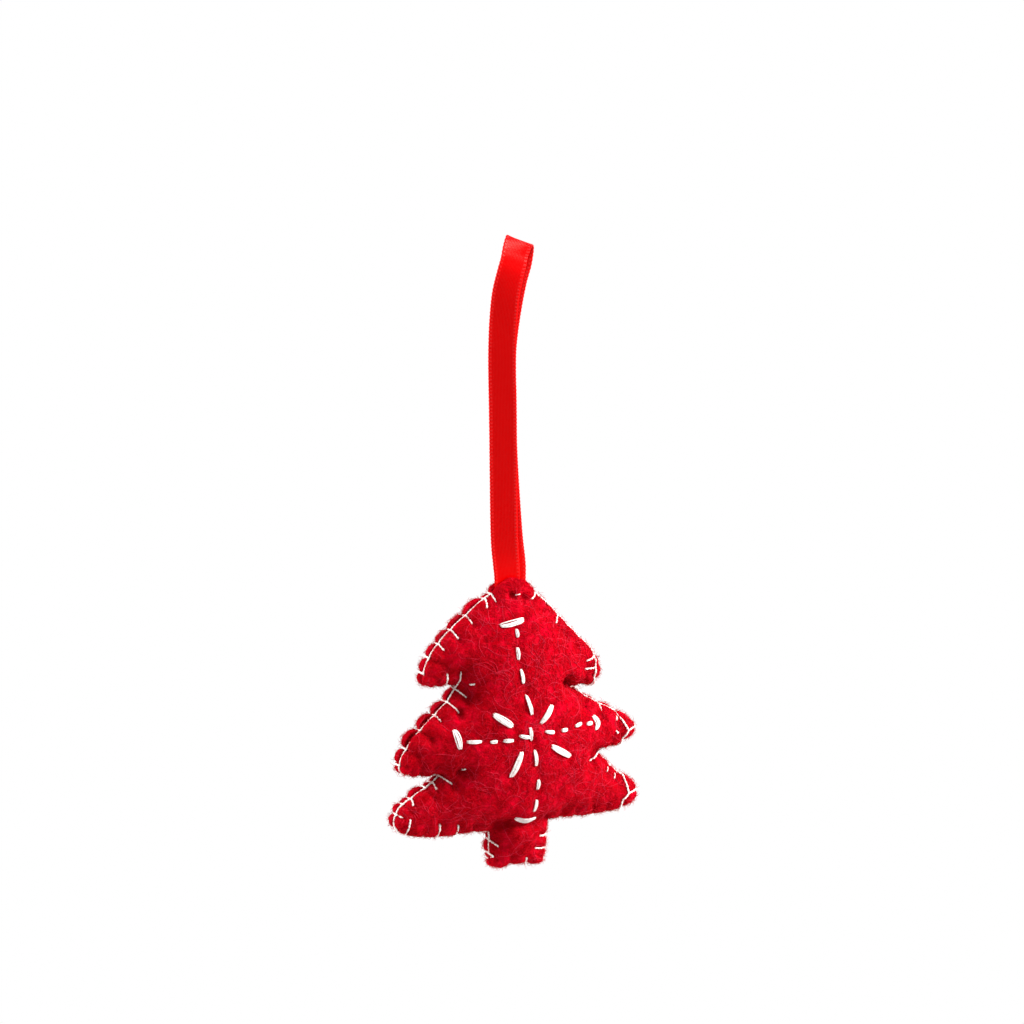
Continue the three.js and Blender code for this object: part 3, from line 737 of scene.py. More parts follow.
@dataclass
class Outline:
    """The hand-cut line that both felt panels share, from the mouth's right corner round to its left.

    right and left are its two halves, each from the mouth down to the middle of the trunk's foot.
    """

    right: Sequence[Place] = (
        (4.0, -0.8), (4.7, -1.7), (5.6, -2.8), (7.7, -5.0), (13.0, -10.6), (18.3, -16.4),
        (20.3, -19.4), (20.2, -22.0), (18.4, -23.4), (15.6, -23.1), (14.0, -24.0), (17.6, -27.2),
        (24.4, -31.1), (28.7, -33.8), (28.6, -35.7), (25.2, -37.7), (21.4, -38.3), (20.2, -39.7),
        (24.7, -44.5), (28.9, -47.6), (28.9, -50.5), (24.6, -52.4), (16.5, -52.7), (9.8, -52.6),
        (7.9, -53.5), (7.4, -57.0), (7.1, -61.0), (5.9, -62.1), (0.9, -61.5),
    )
    left: Sequence[Place] = (
        (-4.2, -0.8), (-4.6, -1.5), (-5.2, -2.2), (-6.6, -2.9), (-10.5, -5.8), (-14.2, -8.6),
        (-17.0, -11.2), (-19.3, -14.2), (-20.6, -17.4), (-20.9, -18.9), (-19.2, -19.9),
        (-15.6, -19.9), (-13.2, -21.0),
        (-14.9, -24.2), (-17.9, -27.0), (-21.4, -30.1), (-24.6, -33.6), (-26.3, -36.8), (-26.1, -38.2),
        (-24.2, -39.0), (-19.6, -39.3), (-17.0, -40.2), (-19.2, -42.4), (-23.7, -45.0), (-26.4, -46.7),
        (-27.6, -49.0), (-27.3, -50.9), (-25.4, -52.1), (-21.0, -53.1), (-16.0, -53.4), (-8.0, -53.4),
        (-5.2, -54.2), (-5.0, -57.0), (-4.9, -60.4), (-4.0, -61.8), (0.9, -61.5),
    )
    spacing: float = 0.5
    loose_gap: float = 4.3
    most_room: float = 1.2
    notch: float = 0.6
    line: Array = field(init=False)
    arc: Array = field(init=False)
    stitches: Array = field(init=False)

    def __post_init__(self) -> None:
        """Draw the line and find each edge stitch's place along it."""
        self.line = smooth_line([*self.right, *reversed(self.left[:-1])], self.spacing)
        self.arc = arc_lengths(self.line)
        places = np.array([stitch.crossing or (stitch.x, stitch.z) for stitch in EDGE_STITCHES])
        away = np.linalg.norm(self.line[:, None] - places[None], axis=2)
        self.stitches = np.maximum.accumulate(self.arc[away.argmin(axis=0)])

    def place(self, arc: Array | float) -> Array:
        """Points at distances along the line."""
        return np.stack([np.interp(arc, self.arc, axis) for axis in self.line.T], axis=-1)

    def outward(self, arc: Array | float, reach: float = 0.8) -> Array:
        """Outward directions at distances along the line."""
        along = unit(self.place(np.asarray(arc) + reach) - self.place(np.asarray(arc) - reach))
        return np.stack([-along[..., 1], along[..., 0]], axis=-1)

    def hollow(self, arc: Array) -> Array:
        """How deep the line turns in, from 0 on a straight or bulging stretch to 1 in a notch.

        Args:
            arc: distances along the line.

        Returns:
            One share for each.
        """
        reach = self.loose_gap / 2
        chord = (self.place(arc - reach) + self.place(arc + reach)) / 2
        depth = np.sum((chord - self.place(arc)) * self.outward(arc), axis=-1)
        return np.clip(depth / self.notch, 0, 1)

    def swell(self, arc: Array) -> Array:
        """How far the felt stands out between stitches, from 0 at a stitch to about 1 in a wide gap.

        Args:
            arc: distances along the line.

        Returns:
            One share for each.
        """
        marks = np.concatenate([[0.0], self.stitches, [self.arc[-1]]])
        after = np.clip(np.searchsorted(marks, arc, side="right"), 1, len(marks) - 1)
        low, high = marks[after - 1], marks[after]
        share = np.clip((arc - low) / np.maximum(high - low, 1e-6), 0, 1)
        room = np.clip((high - low) / self.loose_gap, 0, self.most_room)
        slack = np.array([USUAL_SLACK, *(stitch.slack for stitch in EDGE_STITCHES)])[after - 1]
        return slack * room * np.sin(math.pi * share) ** 0.5


# Stitches and dents on the front felt


class Floss(Enum):
    """The four weights of stitch: its strands, their spread across and their rise off the felt."""

    RUNNING = (3, 0.85, 0.26)
    BAR = (4, 1.35, 0.28)
    PETAL = (5, 1.50, 0.30)
    TACK = (1, 0.0, -0.1)


@dataclass(frozen=True)
class FlossLength:
    """One length of floss that is sewn on the front felt.

    node is its CAD solid, each of its stitches goes from x, z to x, z, and bow is how far they curve aside.
    """

    node: str
    floss: Floss
    stitches: tuple[tuple[float, float, float, float], ...]
    bow: float = 0.0

    def piece_name(self) -> str:
        """The name of the sewn piece."""
        stem = self.node.removesuffix("_floss")
        return f"{stem}_thread" if stem == self.node else f"{stem}_stitches"


STARBURST: tuple[FlossLength, ...] = (
    FlossLength("upper_bar_floss", Floss.BAR, ((-5.0, -7.4, 0.4, -6.6),)),
    FlossLength(
        "upper_arm_floss",
        Floss.RUNNING,
        (
            (-1.4, -8.5, -1.4, -10.1),
            (-1.7, -12.4, -1.6, -14.9),
            (-1.2, -17.2, -0.7, -20.1),
            (-0.2, -22.8, 1.1, -27.1),
        ),
    ),
    FlossLength(
        "lower_arm_floss",
        Floss.RUNNING,
        ((1.6, -35.2, 2.2, -38.7), (2.8, -42.0, 2.7, -44.1), (2.8, -46.7, 2.5, -49.3)),
    ),
    FlossLength(
        "left_arm_floss",
        Floss.RUNNING,
        ((-3.4, -32.4, -5.5, -32.3), (-7.0, -32.3, -8.4, -32.3), (-10.5, -32.1, -13.5, -31.9)),
    ),
    FlossLength(
        "right_arm_floss",
        Floss.RUNNING,
        (
            (4.4, -31.3, 6.6, -31.8),
            (8.7, -31.7, 10.1, -31.7),
            (12.3, -31.3, 14.1, -31.1),
            (15.7, -31.5, 17.2, -31.6),
        ),
    ),
    FlossLength("centre_floss", Floss.RUNNING, ((0.6, -30.0, 1.0, -32.9), (-1.8, -31.5, 0.7, -32.3))),
    FlossLength("lower_bar_floss", Floss.BAR, ((-1.1, -50.9, 3.6, -51.2),), bow=0.55),
    FlossLength("left_bar_floss", Floss.BAR, ((-15.9, -29.5, -15.0, -33.4),)),
    FlossLength("right_bar_floss", Floss.BAR, ((17.9, -30.3, 18.1, -33.2),), bow=-0.75),
    FlossLength("upper_left_petal_floss", Floss.PETAL, ((-7.6, -26.3, -3.6, -29.3),)),
    FlossLength("upper_right_petal_floss", Floss.PETAL, ((6.2, -25.8, 3.3, -29.3),)),
    FlossLength("lower_right_petal_floss", Floss.PETAL, ((6.0, -34.7, 10.7, -37.8),)),
    FlossLength("lower_left_petal_floss", Floss.PETAL, ((-1.4, -35.1, -3.8, -40.5),)),
)
TACK = FlossLength("tack_stitch", Floss.TACK, ((-0.3, -1.6, 0.7, -1.5),))

# Short lengths of edge thread that come up through the nap of the front felt: x, z to x, z
STRAY_STITCHES = (
    (-11.8, -20.1, -10.9, -19.9),
    (-13.5, -38.9, -12.9, -38.6),
    (20.5, -28.4, 20.7, -29.7),
    (24.4, -31.3, 24.2, -32.2),
    (24.7, -35.3, 24.0, -34.7),
    (22.3, -42.5, 22.0, -43.6),
    (24.0, -44.1, 23.8, -45.3),
)


@dataclass(frozen=True)
class Dimple:
    """A place where stitching draws the front felt in: x, z, its reach and its depth."""

    x: float
    z: float
    reach: float
    depth: float


DIMPLES: tuple[Dimple, ...] = (
    Dimple(11.4, -22.2, 1.6, 4.2),
    Dimple(-12.0, -21.0, 2.2, 1.8),
    Dimple(-13.6, -39.0, 1.5, 3.6),
    Dimple(18.4, -38.6, 1.8, 1.4),
    Dimple(-1.3, -1.9, 0.9, 2.0),
    Dimple(1.4, -2.7, 0.9, 2.2),
    Dimple(-4.6, -52.4, 1.8, 3.0),
    Dimple(-2.2, -52.0, 1.6, 2.4),
    Dimple(0.2, -52.4, 1.4, 1.9),
    Dimple(2.6, -52.4, 1.4, 1.7),
    Dimple(5.0, -52.0, 1.4, 1.3),
)


# Felt panels


class Side(Enum):
    """Which way a felt panel faces along Y."""

    FRONT = -1
    BACK = 1


@dataclass
class FeltPanel:
    """One felt panel: a flat cut shape that the stuffing swells and the edge stitches draw in.

    lobe is how far its edge stands out in a wide gap between stitches, depth how far the stuffing lifts it,
    and crown how far its top edge rises over the ribbon. bite is how far in from the edge a stitch goes
    down, and closed_bite the same where the nap hides it. edge_room and the two held values are shares of
    the grid: how clear of the edge it stays, and how near to a stitch or a dimple the felt is held still.
    skin is how far from the seam the nap's lumps and the stitches' grooves begin.
    """

    side: Side
    outline: Outline
    origin: Array
    node: str
    lobe: float
    depth: float
    fullness: float
    crown: float
    edge_pinched: float = 1.75
    edge_loose: float = 2.4
    felt: float = 2.4
    seam: float = 0.15
    mouth: float = 0.45
    mouth_felt: float = 1.2
    bite: float = 2.5
    closed_bite: float = 1.5
    bite_depth: float = 3.0
    bite_reach: float = 1.4
    stitch_dent: float = 0.55
    stitch_reach: float = 0.9
    least_depth: float = 0.75
    groove: float = 0.3
    groove_reach: float = 0.5
    groove_start: float = -0.4
    skin: float = 0.4
    grid: float = 0.85
    edge_room: float = 0.6
    held: float = 0.6
    held_in_dimple: float = 0.7
    lump: float = 0.16
    coarse_lump_mm: float = 3.1
    fine_lump_mm: float = 1.1
    fine_lump: float = 0.55
    settle_rounds: int = 1500
    # Shares of the cut edge's thickness, each with how far the felt bulges there
    edge_bulges: Sequence[Place] = ((0.25, 0.26), (0.5, 0.34), (0.75, 0.26), (1.0, 0.0))
    piece: Object = field(init=False)
    tree: BVHTree = field(init=False)
    flat: Array = field(init=False)
    triangles: Array = field(init=False)
    ring: int = field(init=False)

    def build(self, finish: Material) -> Object:
        """Cut, swell and finish the panel.

        Args:
            finish: the felt's material.

        Returns:
            The panel's object.
        """
        self.cut()
        swollen, pinned = self.swell()
        swollen = self.inflate(swollen, pinned)
        mesh = self.thicken(swollen)
        self.sculpt(mesh)
        self.piece = new_object(f"{self.side.name.lower()}_felt", mesh, finish)
        mesh.calc_loop_triangles()
        faces = [tuple(t.vertices) for t in mesh.loop_triangles]
        self.tree = BVHTree.FromPolygons(mesh_points(mesh).tolist(), faces)
        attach(self.piece, "tree")
        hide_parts(self.node)
        return self.piece

    def cut(self) -> None:
        """Cut the flat shape with its scalloped edge, and divide it into even triangles."""
        line, arcs = self.outline, self.outline.arc
        lobes = self.lobe * line.swell(arcs) * (1 - line.hollow(arcs))
        edge = line.place(arcs) + lobes[:, None] * line.outward(arcs)
        first, last = edge[0], edge[-1]
        steps = max(2, round(np.linalg.norm(first - last) / line.spacing))
        share = np.linspace(0, 1, steps + 1)[1:-1, None]
        mouth = last + (first - last) * share
        mouth[:, 1] += self.crown * np.sin(math.pi * share[:, 0]) ** 0.8
        ring = np.vstack([edge, mouth])
        self.ring = len(ring)
        points = [Vector(p) for p in np.vstack([ring, self.grid_inside(ring)])]
        points, _, faces, *_ = delaunay_2d_cdt(points, [], [list(range(self.ring))], 1, 1e-6)
        self.flat = np.array([tuple(p) for p in points])
        self.triangles = np.array(faces)

    def grid_inside(self, ring: Array) -> Array:
        """Staggered points inside a closed ring.

        Args:
            ring: the ring's points.

        Returns:
            Points inside it and clear of it.
        """
        low, high = ring.min(axis=0), ring.max(axis=0)
        tree = KDTree(len(ring))
        for index, (x, z) in enumerate(ring):
            tree.insert((x, z, 0), index)
        tree.balance()
        step = self.grid * math.sin(math.pi / 3)
        ahead = np.roll(ring, -1, axis=0)
        points = []
        for row, z in enumerate(np.arange(low[1], high[1], step)):
            spans = (ring[:, 1] > z) != (ahead[:, 1] > z)
            a, b = ring[spans], ahead[spans]
            crossings = a[:, 0] + (b[:, 0] - a[:, 0]) * (z - a[:, 1]) / (b[:, 1] - a[:, 1])
            for x in np.arange(low[0] + (row % 2) * self.grid / 2, high[0], self.grid):
                if np.sum(crossings > x) % 2 and tree.find((x, z, 0))[2] > self.edge_room * self.grid:
                    points.append((x, z))
        return np.array(points)

    def edge_depths(self) -> Array:
        """How far the felt's outer face stands from the seam, all along the edge.

        Returns:
            One distance for each point of the edge and the mouth.
        """
        line = self.outline
        stitched = self.edge_pinched + (self.edge_loose - self.edge_pinched) * line.swell(line.arc)
        mouth = np.full(self.ring - len(line.arc), self.mouth + self.mouth_felt)
        return np.concatenate([self.seam + stitched, mouth])

    def legs(self) -> list[tuple[Array, Array]]:
        """Where each edge stitch crosses the edge, and where its needle went through this panel.

        Returns:
            Two places for each stitch.
        """
        legs = []
        for stitch, arc in zip(EDGE_STITCHES, self.outline.stitches):
            place, out = self.outline.place(arc), self.outline.outward(arc)
            if self.side is Side.BACK:
                hole = place - self.bite * out
            elif stitch.hole is None:
                hole = place - self.closed_bite * out
            else:
                hole = np.array(stitch.hole)
            legs.append((place, hole))
        return legs

    def settle(self, values: Array, lift: float) -> Array:
        """Let values settle between their neighbours, with the edge held.

        Args:
            values: one value for each point of the flat shape.
            lift: how far each stands above its neighbours' mean.

        Returns:
            The settled values.
        """
        count = len(self.flat)
        sides = np.vstack([self.triangles[:, pair] for pair in ([0, 1], [1, 2], [2, 0])])
        here, there = np.vstack([sides, sides[:, ::-1]]).T
        near = np.bincount(here, minlength=count)
        values = values.copy()
        for _ in range(self.settle_rounds):
            mean = np.bincount(here, values[there], count) / near + lift
            values[self.ring :] = mean[self.ring :]
        return values

    def swell(self) -> tuple[Array, Array]:
        """Raise the flat shape over the stuffing.

        Returns:
            The outer face's points, and which of them the stitches hold.
        """
        count = len(self.flat)
        start = np.zeros(count)
        start[: self.ring] = self.edge_depths()
        rise = self.settle(np.zeros(count), 1.0)
        depth = self.settle(start, 0.0) + self.depth * (rise / rise.max()) ** self.fullness
        pinned = np.arange(count) < self.ring
        for _, hole in self.legs():
            away = np.linalg.norm(self.flat - hole, axis=1)
            depth = depth + falloff(away, self.bite_reach) * np.minimum(0, self.bite_depth - depth)
            pinned |= away < self.held * self.grid
        for spot, held in self.dents():
            away = np.linalg.norm(self.flat - (spot.x, spot.z), axis=1)
            depth = depth - spot.depth * falloff(away, spot.reach)
            pinned |= away < held * self.grid
        depth = np.maximum(depth, start.max() * self.least_depth)
        return np.stack([self.flat[:, 0], self.side.value * depth, self.flat[:, 1]], axis=1), pinned

    def dents(self) -> list[tuple[Dimple, float]]:
        """The front felt's dimples and the ends of its stitches, each with the share of the grid it holds.

        Returns:
            Dimples and shares, none on the back felt.
        """
        if self.side is Side.BACK:
            return []
        dents = [(dimple, self.held_in_dimple) for dimple in DIMPLES]
        for length in STARBURST:
            for x1, z1, x2, z2 in length.stitches:
                for x, z in ((x1, z1), (x2, z2)):
                    dents.append((Dimple(x, z, self.stitch_reach, self.stitch_dent), self.held))
        return dents

    def inflate(self, points: Array, pinned: Array) -> Array:
        """Press the felt out from inside as cloth, enlarged, held at its stitches.

        Args:
            points: the outer face before.
            pinned: which points the stitches hold.

        Returns:
            The outer face after.
        """
        enlarge, most, frames = 10.0, 1.3, 20
        scene = bpy.context.scene
        faces = self.triangles if self.side is Side.FRONT else self.triangles[:, ::-1]
        mesh = mesh_from(points * enlarge, faces)
        sheet = bpy.data.objects.new("cloth", mesh)
        scene.collection.objects.link(sheet)
        sheet.vertex_groups.new(name="held").add(np.flatnonzero(pinned).tolist(), 1.0, "REPLACE")
        cloth = sheet.modifiers.new("press", "CLOTH")
        settings = cloth.settings
        settings.vertex_group_mass = "held"
        settings.quality = 6
        settings.mass = 0.4
        settings.tension_stiffness = 22
        settings.compression_stiffness = 22
        settings.shear_stiffness = 10
        settings.bending_stiffness = 2.0
        settings.use_pressure = True
        settings.uniform_pressure_force = 4.0
        settings.effector_weights.gravity = 0.0
        cloth.collision_settings.use_collision = False
        cloth.point_cache.frame_start, cloth.point_cache.frame_end = 1, frames
        for frame in range(1, frames + 1):
            scene.frame_set(frame)
        pressed = sheet.evaluated_get(bpy.context.evaluated_depsgraph_get())
        moved = mesh_points(pressed.to_mesh()) / enlarge - points
        pressed.to_mesh_clear()
        scene.frame_set(1)
        bpy.data.objects.remove(sheet)
        bpy.data.meshes.remove(mesh)
        far = np.linalg.norm(moved, axis=1, keepdims=True)
        LOG.info("%s felt moved up to %.2f mm", self.side.name, far.max())
        return points + moved * np.minimum(1, most / np.maximum(far, TINY))

    def thicken(self, outer: Array) -> Mesh:
        """Close the panel with its cut edge and its inner face, and round it once over.

        Args:
            outer: the outer face's points.

        Returns:
            The closed mesh, in its place.
        """
        count, ring, facing = len(outer), self.ring, self.side.value
        edge = outer[:ring]
        along = np.roll(edge, -1, axis=0) - np.roll(edge, 1, axis=0)
        away = unit(np.stack([-along[:, 2], np.zeros(ring), along[:, 0]], axis=1))
        seam = np.full(ring, self.seam)
        seam[len(self.outline.arc) :] = self.mouth
        loops = []
        for share, bulge in self.edge_bulges:
            loop = edge + bulge * away
            loop[:, 1] = edge[:, 1] + (facing * seam - edge[:, 1]) * share
            loops.append(loop)
        inner = outer[ring:].copy()
        inner[:, 1] = facing * np.maximum(self.seam, np.abs(inner[:, 1]) - self.felt)
        starts = [0, *(count + ring * number for number in range(len(loops)))]
        faces = [*self.triangles.tolist(), *(self.triangles + starts[-1])[:, ::-1].tolist()]
        for near, far in zip(starts, starts[1:]):
            for i in range(ring):
                j = (i + 1) % ring
                faces.append((far + j, far + i, near + i, near + j))
        mesh = mesh_from(np.vstack([outer, *loops, inner]) + self.origin, faces)
        holder = bpy.data.objects.new("panel", mesh)
        bpy.context.scene.collection.objects.link(holder)
        rounding = holder.modifiers.new("round", "SUBSURF")
        rounding.levels = rounding.render_levels = 1
        graph = bpy.context.evaluated_depsgraph_get()
        rounded = bpy.data.meshes.new_from_object(holder.evaluated_get(graph))
        bpy.data.objects.remove(holder)
        bpy.data.meshes.remove(mesh)
        face_outwards(rounded)
        return rounded

    def sculpt(self, mesh: Mesh) -> None:
        """Press the edge stitches into the felt and make its surface uneven.

        Args:
            mesh: the closed panel, which is changed.
        """
        points = mesh_points(mesh)
        normals = np.empty(points.size)
        mesh.vertices.foreach_get("normal", normals)
        local = points - self.origin
        plan = local[:, [0, 2]]
        press = np.zeros(len(points))
        for place, hole in self.legs():
            length = np.linalg.norm(hole - place)
            along = (hole - place) / length
            share = np.clip((plan - place) @ along, self.groove_start, length)
            away = np.linalg.norm(plan - place - share[:, None] * along, axis=1)
            press = np.maximum(press, falloff(away, self.groove_reach))
        skin = np.abs(local[:, 1]) > self.seam + self.skin
        lumps = np.array([self.unevenness(p) for p in points])
        move = (self.lump * lumps - self.groove * press) * skin
        points += normals.reshape(-1, 3) * move[:, None]
        mesh.vertices.foreach_set("co", (points * MM).ravel())
        mesh.update()

    def unevenness(self, point: Array) -> float:
        """How far the nap stands proud at a point, from about -1 to 1.

        Args:
            point: the point.

        Returns:
            The share.
        """
        coarse = noise.noise(Vector(point) / self.coarse_lump_mm)
        # Moved aside, so that the two patterns don't line up
        fine = noise.noise(Vector(point) / self.fine_lump_mm + Vector((7, 3, 5)))
        return coarse + self.fine_lump * fine

    def surface(self, x: float, z: float, past_edge: float = 0.0) -> float:
        """Find the outer face.

        Args:
            x: the place to the right.
            z: the place up.
            past_edge: what is added to the pinched edge's thickness, which holds past the edge.

        Returns:
            The outer face's distance from the seam.
        """
        far = 60.0
        start = Vector(self.origin) + Vector((x, self.side.value * far, z))
        hit = self.tree.ray_cast(start, Vector((0, -self.side.value, 0)))[0]
        return self.edge_pinched + past_edge if hit is None else abs(hit.y - self.origin[1])


# Sewing


@dataclass
class EdgeThread:
    """The blanket stitch round the tree: a run along the seam, and a leg on each face at every stitch.

    Names that end in out are distances off the cut edge, and those that end in y are places across it, with
    the front felt below 0.
    """

    outline: Outline
    front: FeltPanel
    back: FeltPanel
    ply: float = 0.135
    offset: float = 0.095
    twist: float = 1.6
    step: float = 0.2
    seam_out: float = 0.45
    slack_out: float = 0.1
    proud_out: float = 0.62
    sunk_out: float = 0.05
    seam_y: float = -0.7
    front_rim_y: float = -1.3
    proud_y: float = -1.0
    back_rim_y: float = 1.2
    stray_y: float = -1.5
    short_gap: float = 1.0
    past_hole: float = 0.3
    dive: float = 1.0

    def build(self, finish: Material) -> Object:
        """Lay the run and every leg.

        Args:
            finish: the thread's material.

        Returns:
            The thread's object.
        """
        lines = [self.run()]
        legs = zip(EDGE_STITCHES, self.outline.stitches, self.front.legs(), self.back.legs())
        for stitch, arc, front, back in legs:
            start = self.catch(stitch, arc)
            if stitch.hole is not None:
                rim = start if Lay.FACE in stitch.lay else self.rim(arc, self.seam_out, self.front_rim_y)
                lines.append(self.leg([start, rim], front, self.front))
            route = [start, self.rim(arc, self.sunk_out, self.back_rim_y)]
            if Lay.PROUD in stitch.lay:
                route = [start, *self.over_front(stitch, arc), self.rim(arc, self.proud_out, self.back_rim_y)]
            lines.append(self.leg(route, back, self.back))
        for x1, z1, x2, z2 in STRAY_STITCHES:
            ends = np.array((x1, z1)), np.array((x2, z2))
            lines.append(self.leg([(x1, self.stray_y, z1)], ends, self.front))
        plies = [ply for line in lines for ply in twisted(line, 2, self.offset, self.twist)]
        piece = new_object("edge_stitching", strands_mesh(plies, self.ply, 6), finish)
        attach(piece, "tree")
        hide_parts("edge_thread")
        return piece

    def rim(self, arc: float, out: float, y: float) -> Point:
        """A place off the cut edge."""
        x, z = self.outline.place(arc) + out * self.outline.outward(arc)
        return (x, y, z)

    def on_front(self, x: float, z: float) -> Point:
        """A place where the thread lies on the front felt."""
        return (x, -(self.front.surface(x, z) + self.ply), z)

    def catch(self, stitch: EdgeStitch, arc: float) -> Point:
        """Where a stitch catches the thread's run.

        Args:
            stitch: the stitch.
            arc: its distance along the outline.

        Returns:
            The place.
        """
        if Lay.SUNK in stitch.lay:
            return self.rim(arc, -self.seam_out, 0.0)
        if Lay.FACE in stitch.lay:
            return self.on_front(stitch.x, stitch.z)
        return self.rim(arc, self.seam_out, self.seam_y)

    def over_front(self, stitch: EdgeStitch, arc: float) -> list[Point]:
        """The places that a proud leg passes on its way out to the cut edge.

        Args:
            stitch: the stitch.
            arc: its distance along the outline.

        Returns:
            The places in order.
        """
        places = []
        if Lay.FACE in stitch.lay:
            start, edge = np.array((stitch.x, stitch.z)), self.outline.place(arc)
            places = [self.on_front(*(start * (1 - share) + edge * share)) for share in (0.4, 0.8)]
        return [*places, self.rim(arc, self.proud_out, self.proud_y)]

    def run(self) -> Array:
        """The thread's line along the seam, through every stitch.

        Returns:
            The middle line.
        """
        arcs = self.outline.stitches
        catches = [self.catch(stitch, arc) for stitch, arc in zip(EDGE_STITCHES, arcs)]
        points = []
        for number, (here, ahead) in enumerate(zip(EDGE_STITCHES, EDGE_STITCHES[1:])):
            gap = arcs[number + 1] - arcs[number]
            start, end = np.array(catches[number]), np.array(catches[number + 1])
            sunk = Lay.SUNK in (here.lay | ahead.lay)
            out = -self.seam_out if sunk else self.seam_out + self.slack_out
            points.append(catches[number])
            for share in (0.25, 0.5, 0.75):
                x, y, z = start + (end - start) * share
                if Lay.FACE in (here.lay & ahead.lay):
                    points.append(self.on_front(x, z))
                elif gap > self.short_gap:
                    points.append(self.rim(arcs[number] + gap * share, out, y))
        points.append(catches[-1])
        return smooth_line(np.array(points) + self.front.origin, self.step)

    def leg(self, points: list[Point], ends: tuple[Array, Array], panel: FeltPanel) -> Array:
        """The thread's line from the seam, over a panel's edge, to its needle hole.

        Args:
            points: the places that it passes before it reaches the panel's face.
            ends: where it crosses the edge, and its hole.
            panel: the panel that it lies on.

        Returns:
            The middle line.
        """
        points = list(dict.fromkeys(points))
        (place, hole), facing = ends, panel.side.value
        first = np.array([points[-1][0], points[-1][2]])
        for share in (0.35, 0.6, 0.8, 1.0):
            x, z = first + (hole - first) * share
            depth = panel.surface(x, z, panel.seam) + 0.9 * self.ply
            points.append((x, facing * depth, z))
        x, z = hole + self.past_hole * (hole - place) / np.linalg.norm(hole - place)
        points.append((x, points[-1][1] - facing * self.dive, z))
        return smooth_line(np.array(points) + panel.origin, self.step)


@dataclass
class Embroidery:
    """The starburst and the ribbon's tack on the front felt, each stitch a small bundle of strands."""

    front: FeltPanel
    strand: float = 0.155
    step: float = 0.25
    knot_gap: float = 0.45
    hover: float = 0.05
    dive: float = 0.9
    lane_play: float = 0.1
    drift_play: float = 0.4
    layer_play: float = 0.07
    end_play: tuple[float, float] = (-0.02, 0.05)
    end_spread: float = 0.4
    end_rise: float = 0.35
    seed: int = 11

    def build(self, finish: Material) -> list[Object]:
        """Sew every length of floss.

        Args:
            finish: the floss's material.

        Returns:
            One object for each length of floss.
        """
        dice = np.random.default_rng(self.seed)
        pieces = []
        for length in (*STARBURST, TACK):
            lines = [line for stitch in length.stitches for line in self.bundle(length, stitch, dice)]
            piece = new_object(length.piece_name(), strands_mesh(lines, self.strand, 6), finish)
            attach(piece, "tree")
            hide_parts(length.node)
            pieces.append(piece)
        return pieces

    def bundle(self, length: FlossLength, stitch: Sequence[float], dice: np.random.Generator) -> list[Array]:
        """Lay one stitch's strands side by side.

        Args:
            length: the length of floss that it belongs to.
            stitch: the x, z where it starts and the x, z where it ends.
            dice: random numbers for the strands' small differences.

        Returns:
            The strands' lines.
        """
        count, spread, rise = length.floss.value
        start, end = np.array(stitch[:2]), np.array(stitch[2:])
        along = end - start
        reach = np.linalg.norm(along)
        beside = np.array((along[1], -along[0])) / reach
        shares = np.linspace(0, 1, max(6, round(reach / self.knot_gap)))
        lines = []
        for strand in range(count):
            lane = 2 * (strand + 0.5) / count - 1
            lane += dice.uniform(-self.lane_play, self.lane_play)
            drift = dice.uniform(-self.drift_play, self.drift_play)
            layer = rise * math.sqrt(max(0.0, 1 - lane * lane))
            layer += dice.uniform(-self.layer_play, self.layer_play)
            early, late = dice.uniform(*self.end_play), 1 - dice.uniform(*self.end_play)
            points = []
            for share in early + (late - early) * shares:
                full = math.sin(math.pi * min(max(share, 0.0), 1.0)) ** 0.5
                side = (lane + drift * (share - 0.5)) * spread / 2
                side *= self.end_spread + (1 - self.end_spread) * full
                side += length.bow * math.sin(math.pi * share)
                x, z = start + along * share + beside * side
                lift = self.hover + layer * (self.end_rise + (1 - self.end_rise) * full)
                points.append((x, -(self.front.surface(x, z) + lift), z))
            head, tail = ((x, y + self.dive, z) for x, y, z in (points[0], points[-1]))
            lines.append(smooth_line(np.array([head, *points, tail]) + self.front.origin, self.step))
        return lines


@dataclass(frozen=True)
class Stuffing:
    """The wad of fibrefill between the panels, hidden by them."""

    rounds: int = 3
    softness: float = 0.4
    weld: float = 0.001

    def build(self, finish: Material, source: Object) -> Object:
        """Round the stuffing's solid over.

        Args:
            finish: the fibrefill's material.
            source: the CAD solid.

        Returns:
            The stuffing's object.
        """
        wad = bmesh.new()
        wad.from_mesh(source.data)
        bmesh.ops.remove_doubles(wad, verts=wad.verts, dist=self.weld * MM)
        axes = {"use_axis_x": True, "use_axis_y": True, "use_axis_z": True}
        for _ in range(self.rounds):
            bmesh.ops.smooth_vert(wad, verts=wad.verts, factor=self.softness, **axes)
        mesh = bpy.data.meshes.new("wad")
        wad.to_mesh(mesh)
        wad.free()
        piece = new_object("fibrefill", mesh, finish)
        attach(piece, "tree")
        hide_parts("stuffing")
        return piece


# Loose wool


class Region(Enum):
    """Where on a felt panel loose fibres grow."""

    FACE = "face"
    EDGE = "edge"
    CROWN = "crown"


@dataclass(frozen=True)
class Fibres:
    """One sort of loose fibre on a felt panel.

    name follows the panel's side in the piece's name. length is the shortest and the longest fibre, lift how
    steeply they leave the felt, or 0 for fibres that lie on it, curl how far they turn along their length in
    radians, and steps how many straight bits they have.
    """

    name: str
    dye: Dye
    count: int
    region: Region
    length: tuple[float, float]
    lift: float
    curl: float
    steps: int
    radius: float


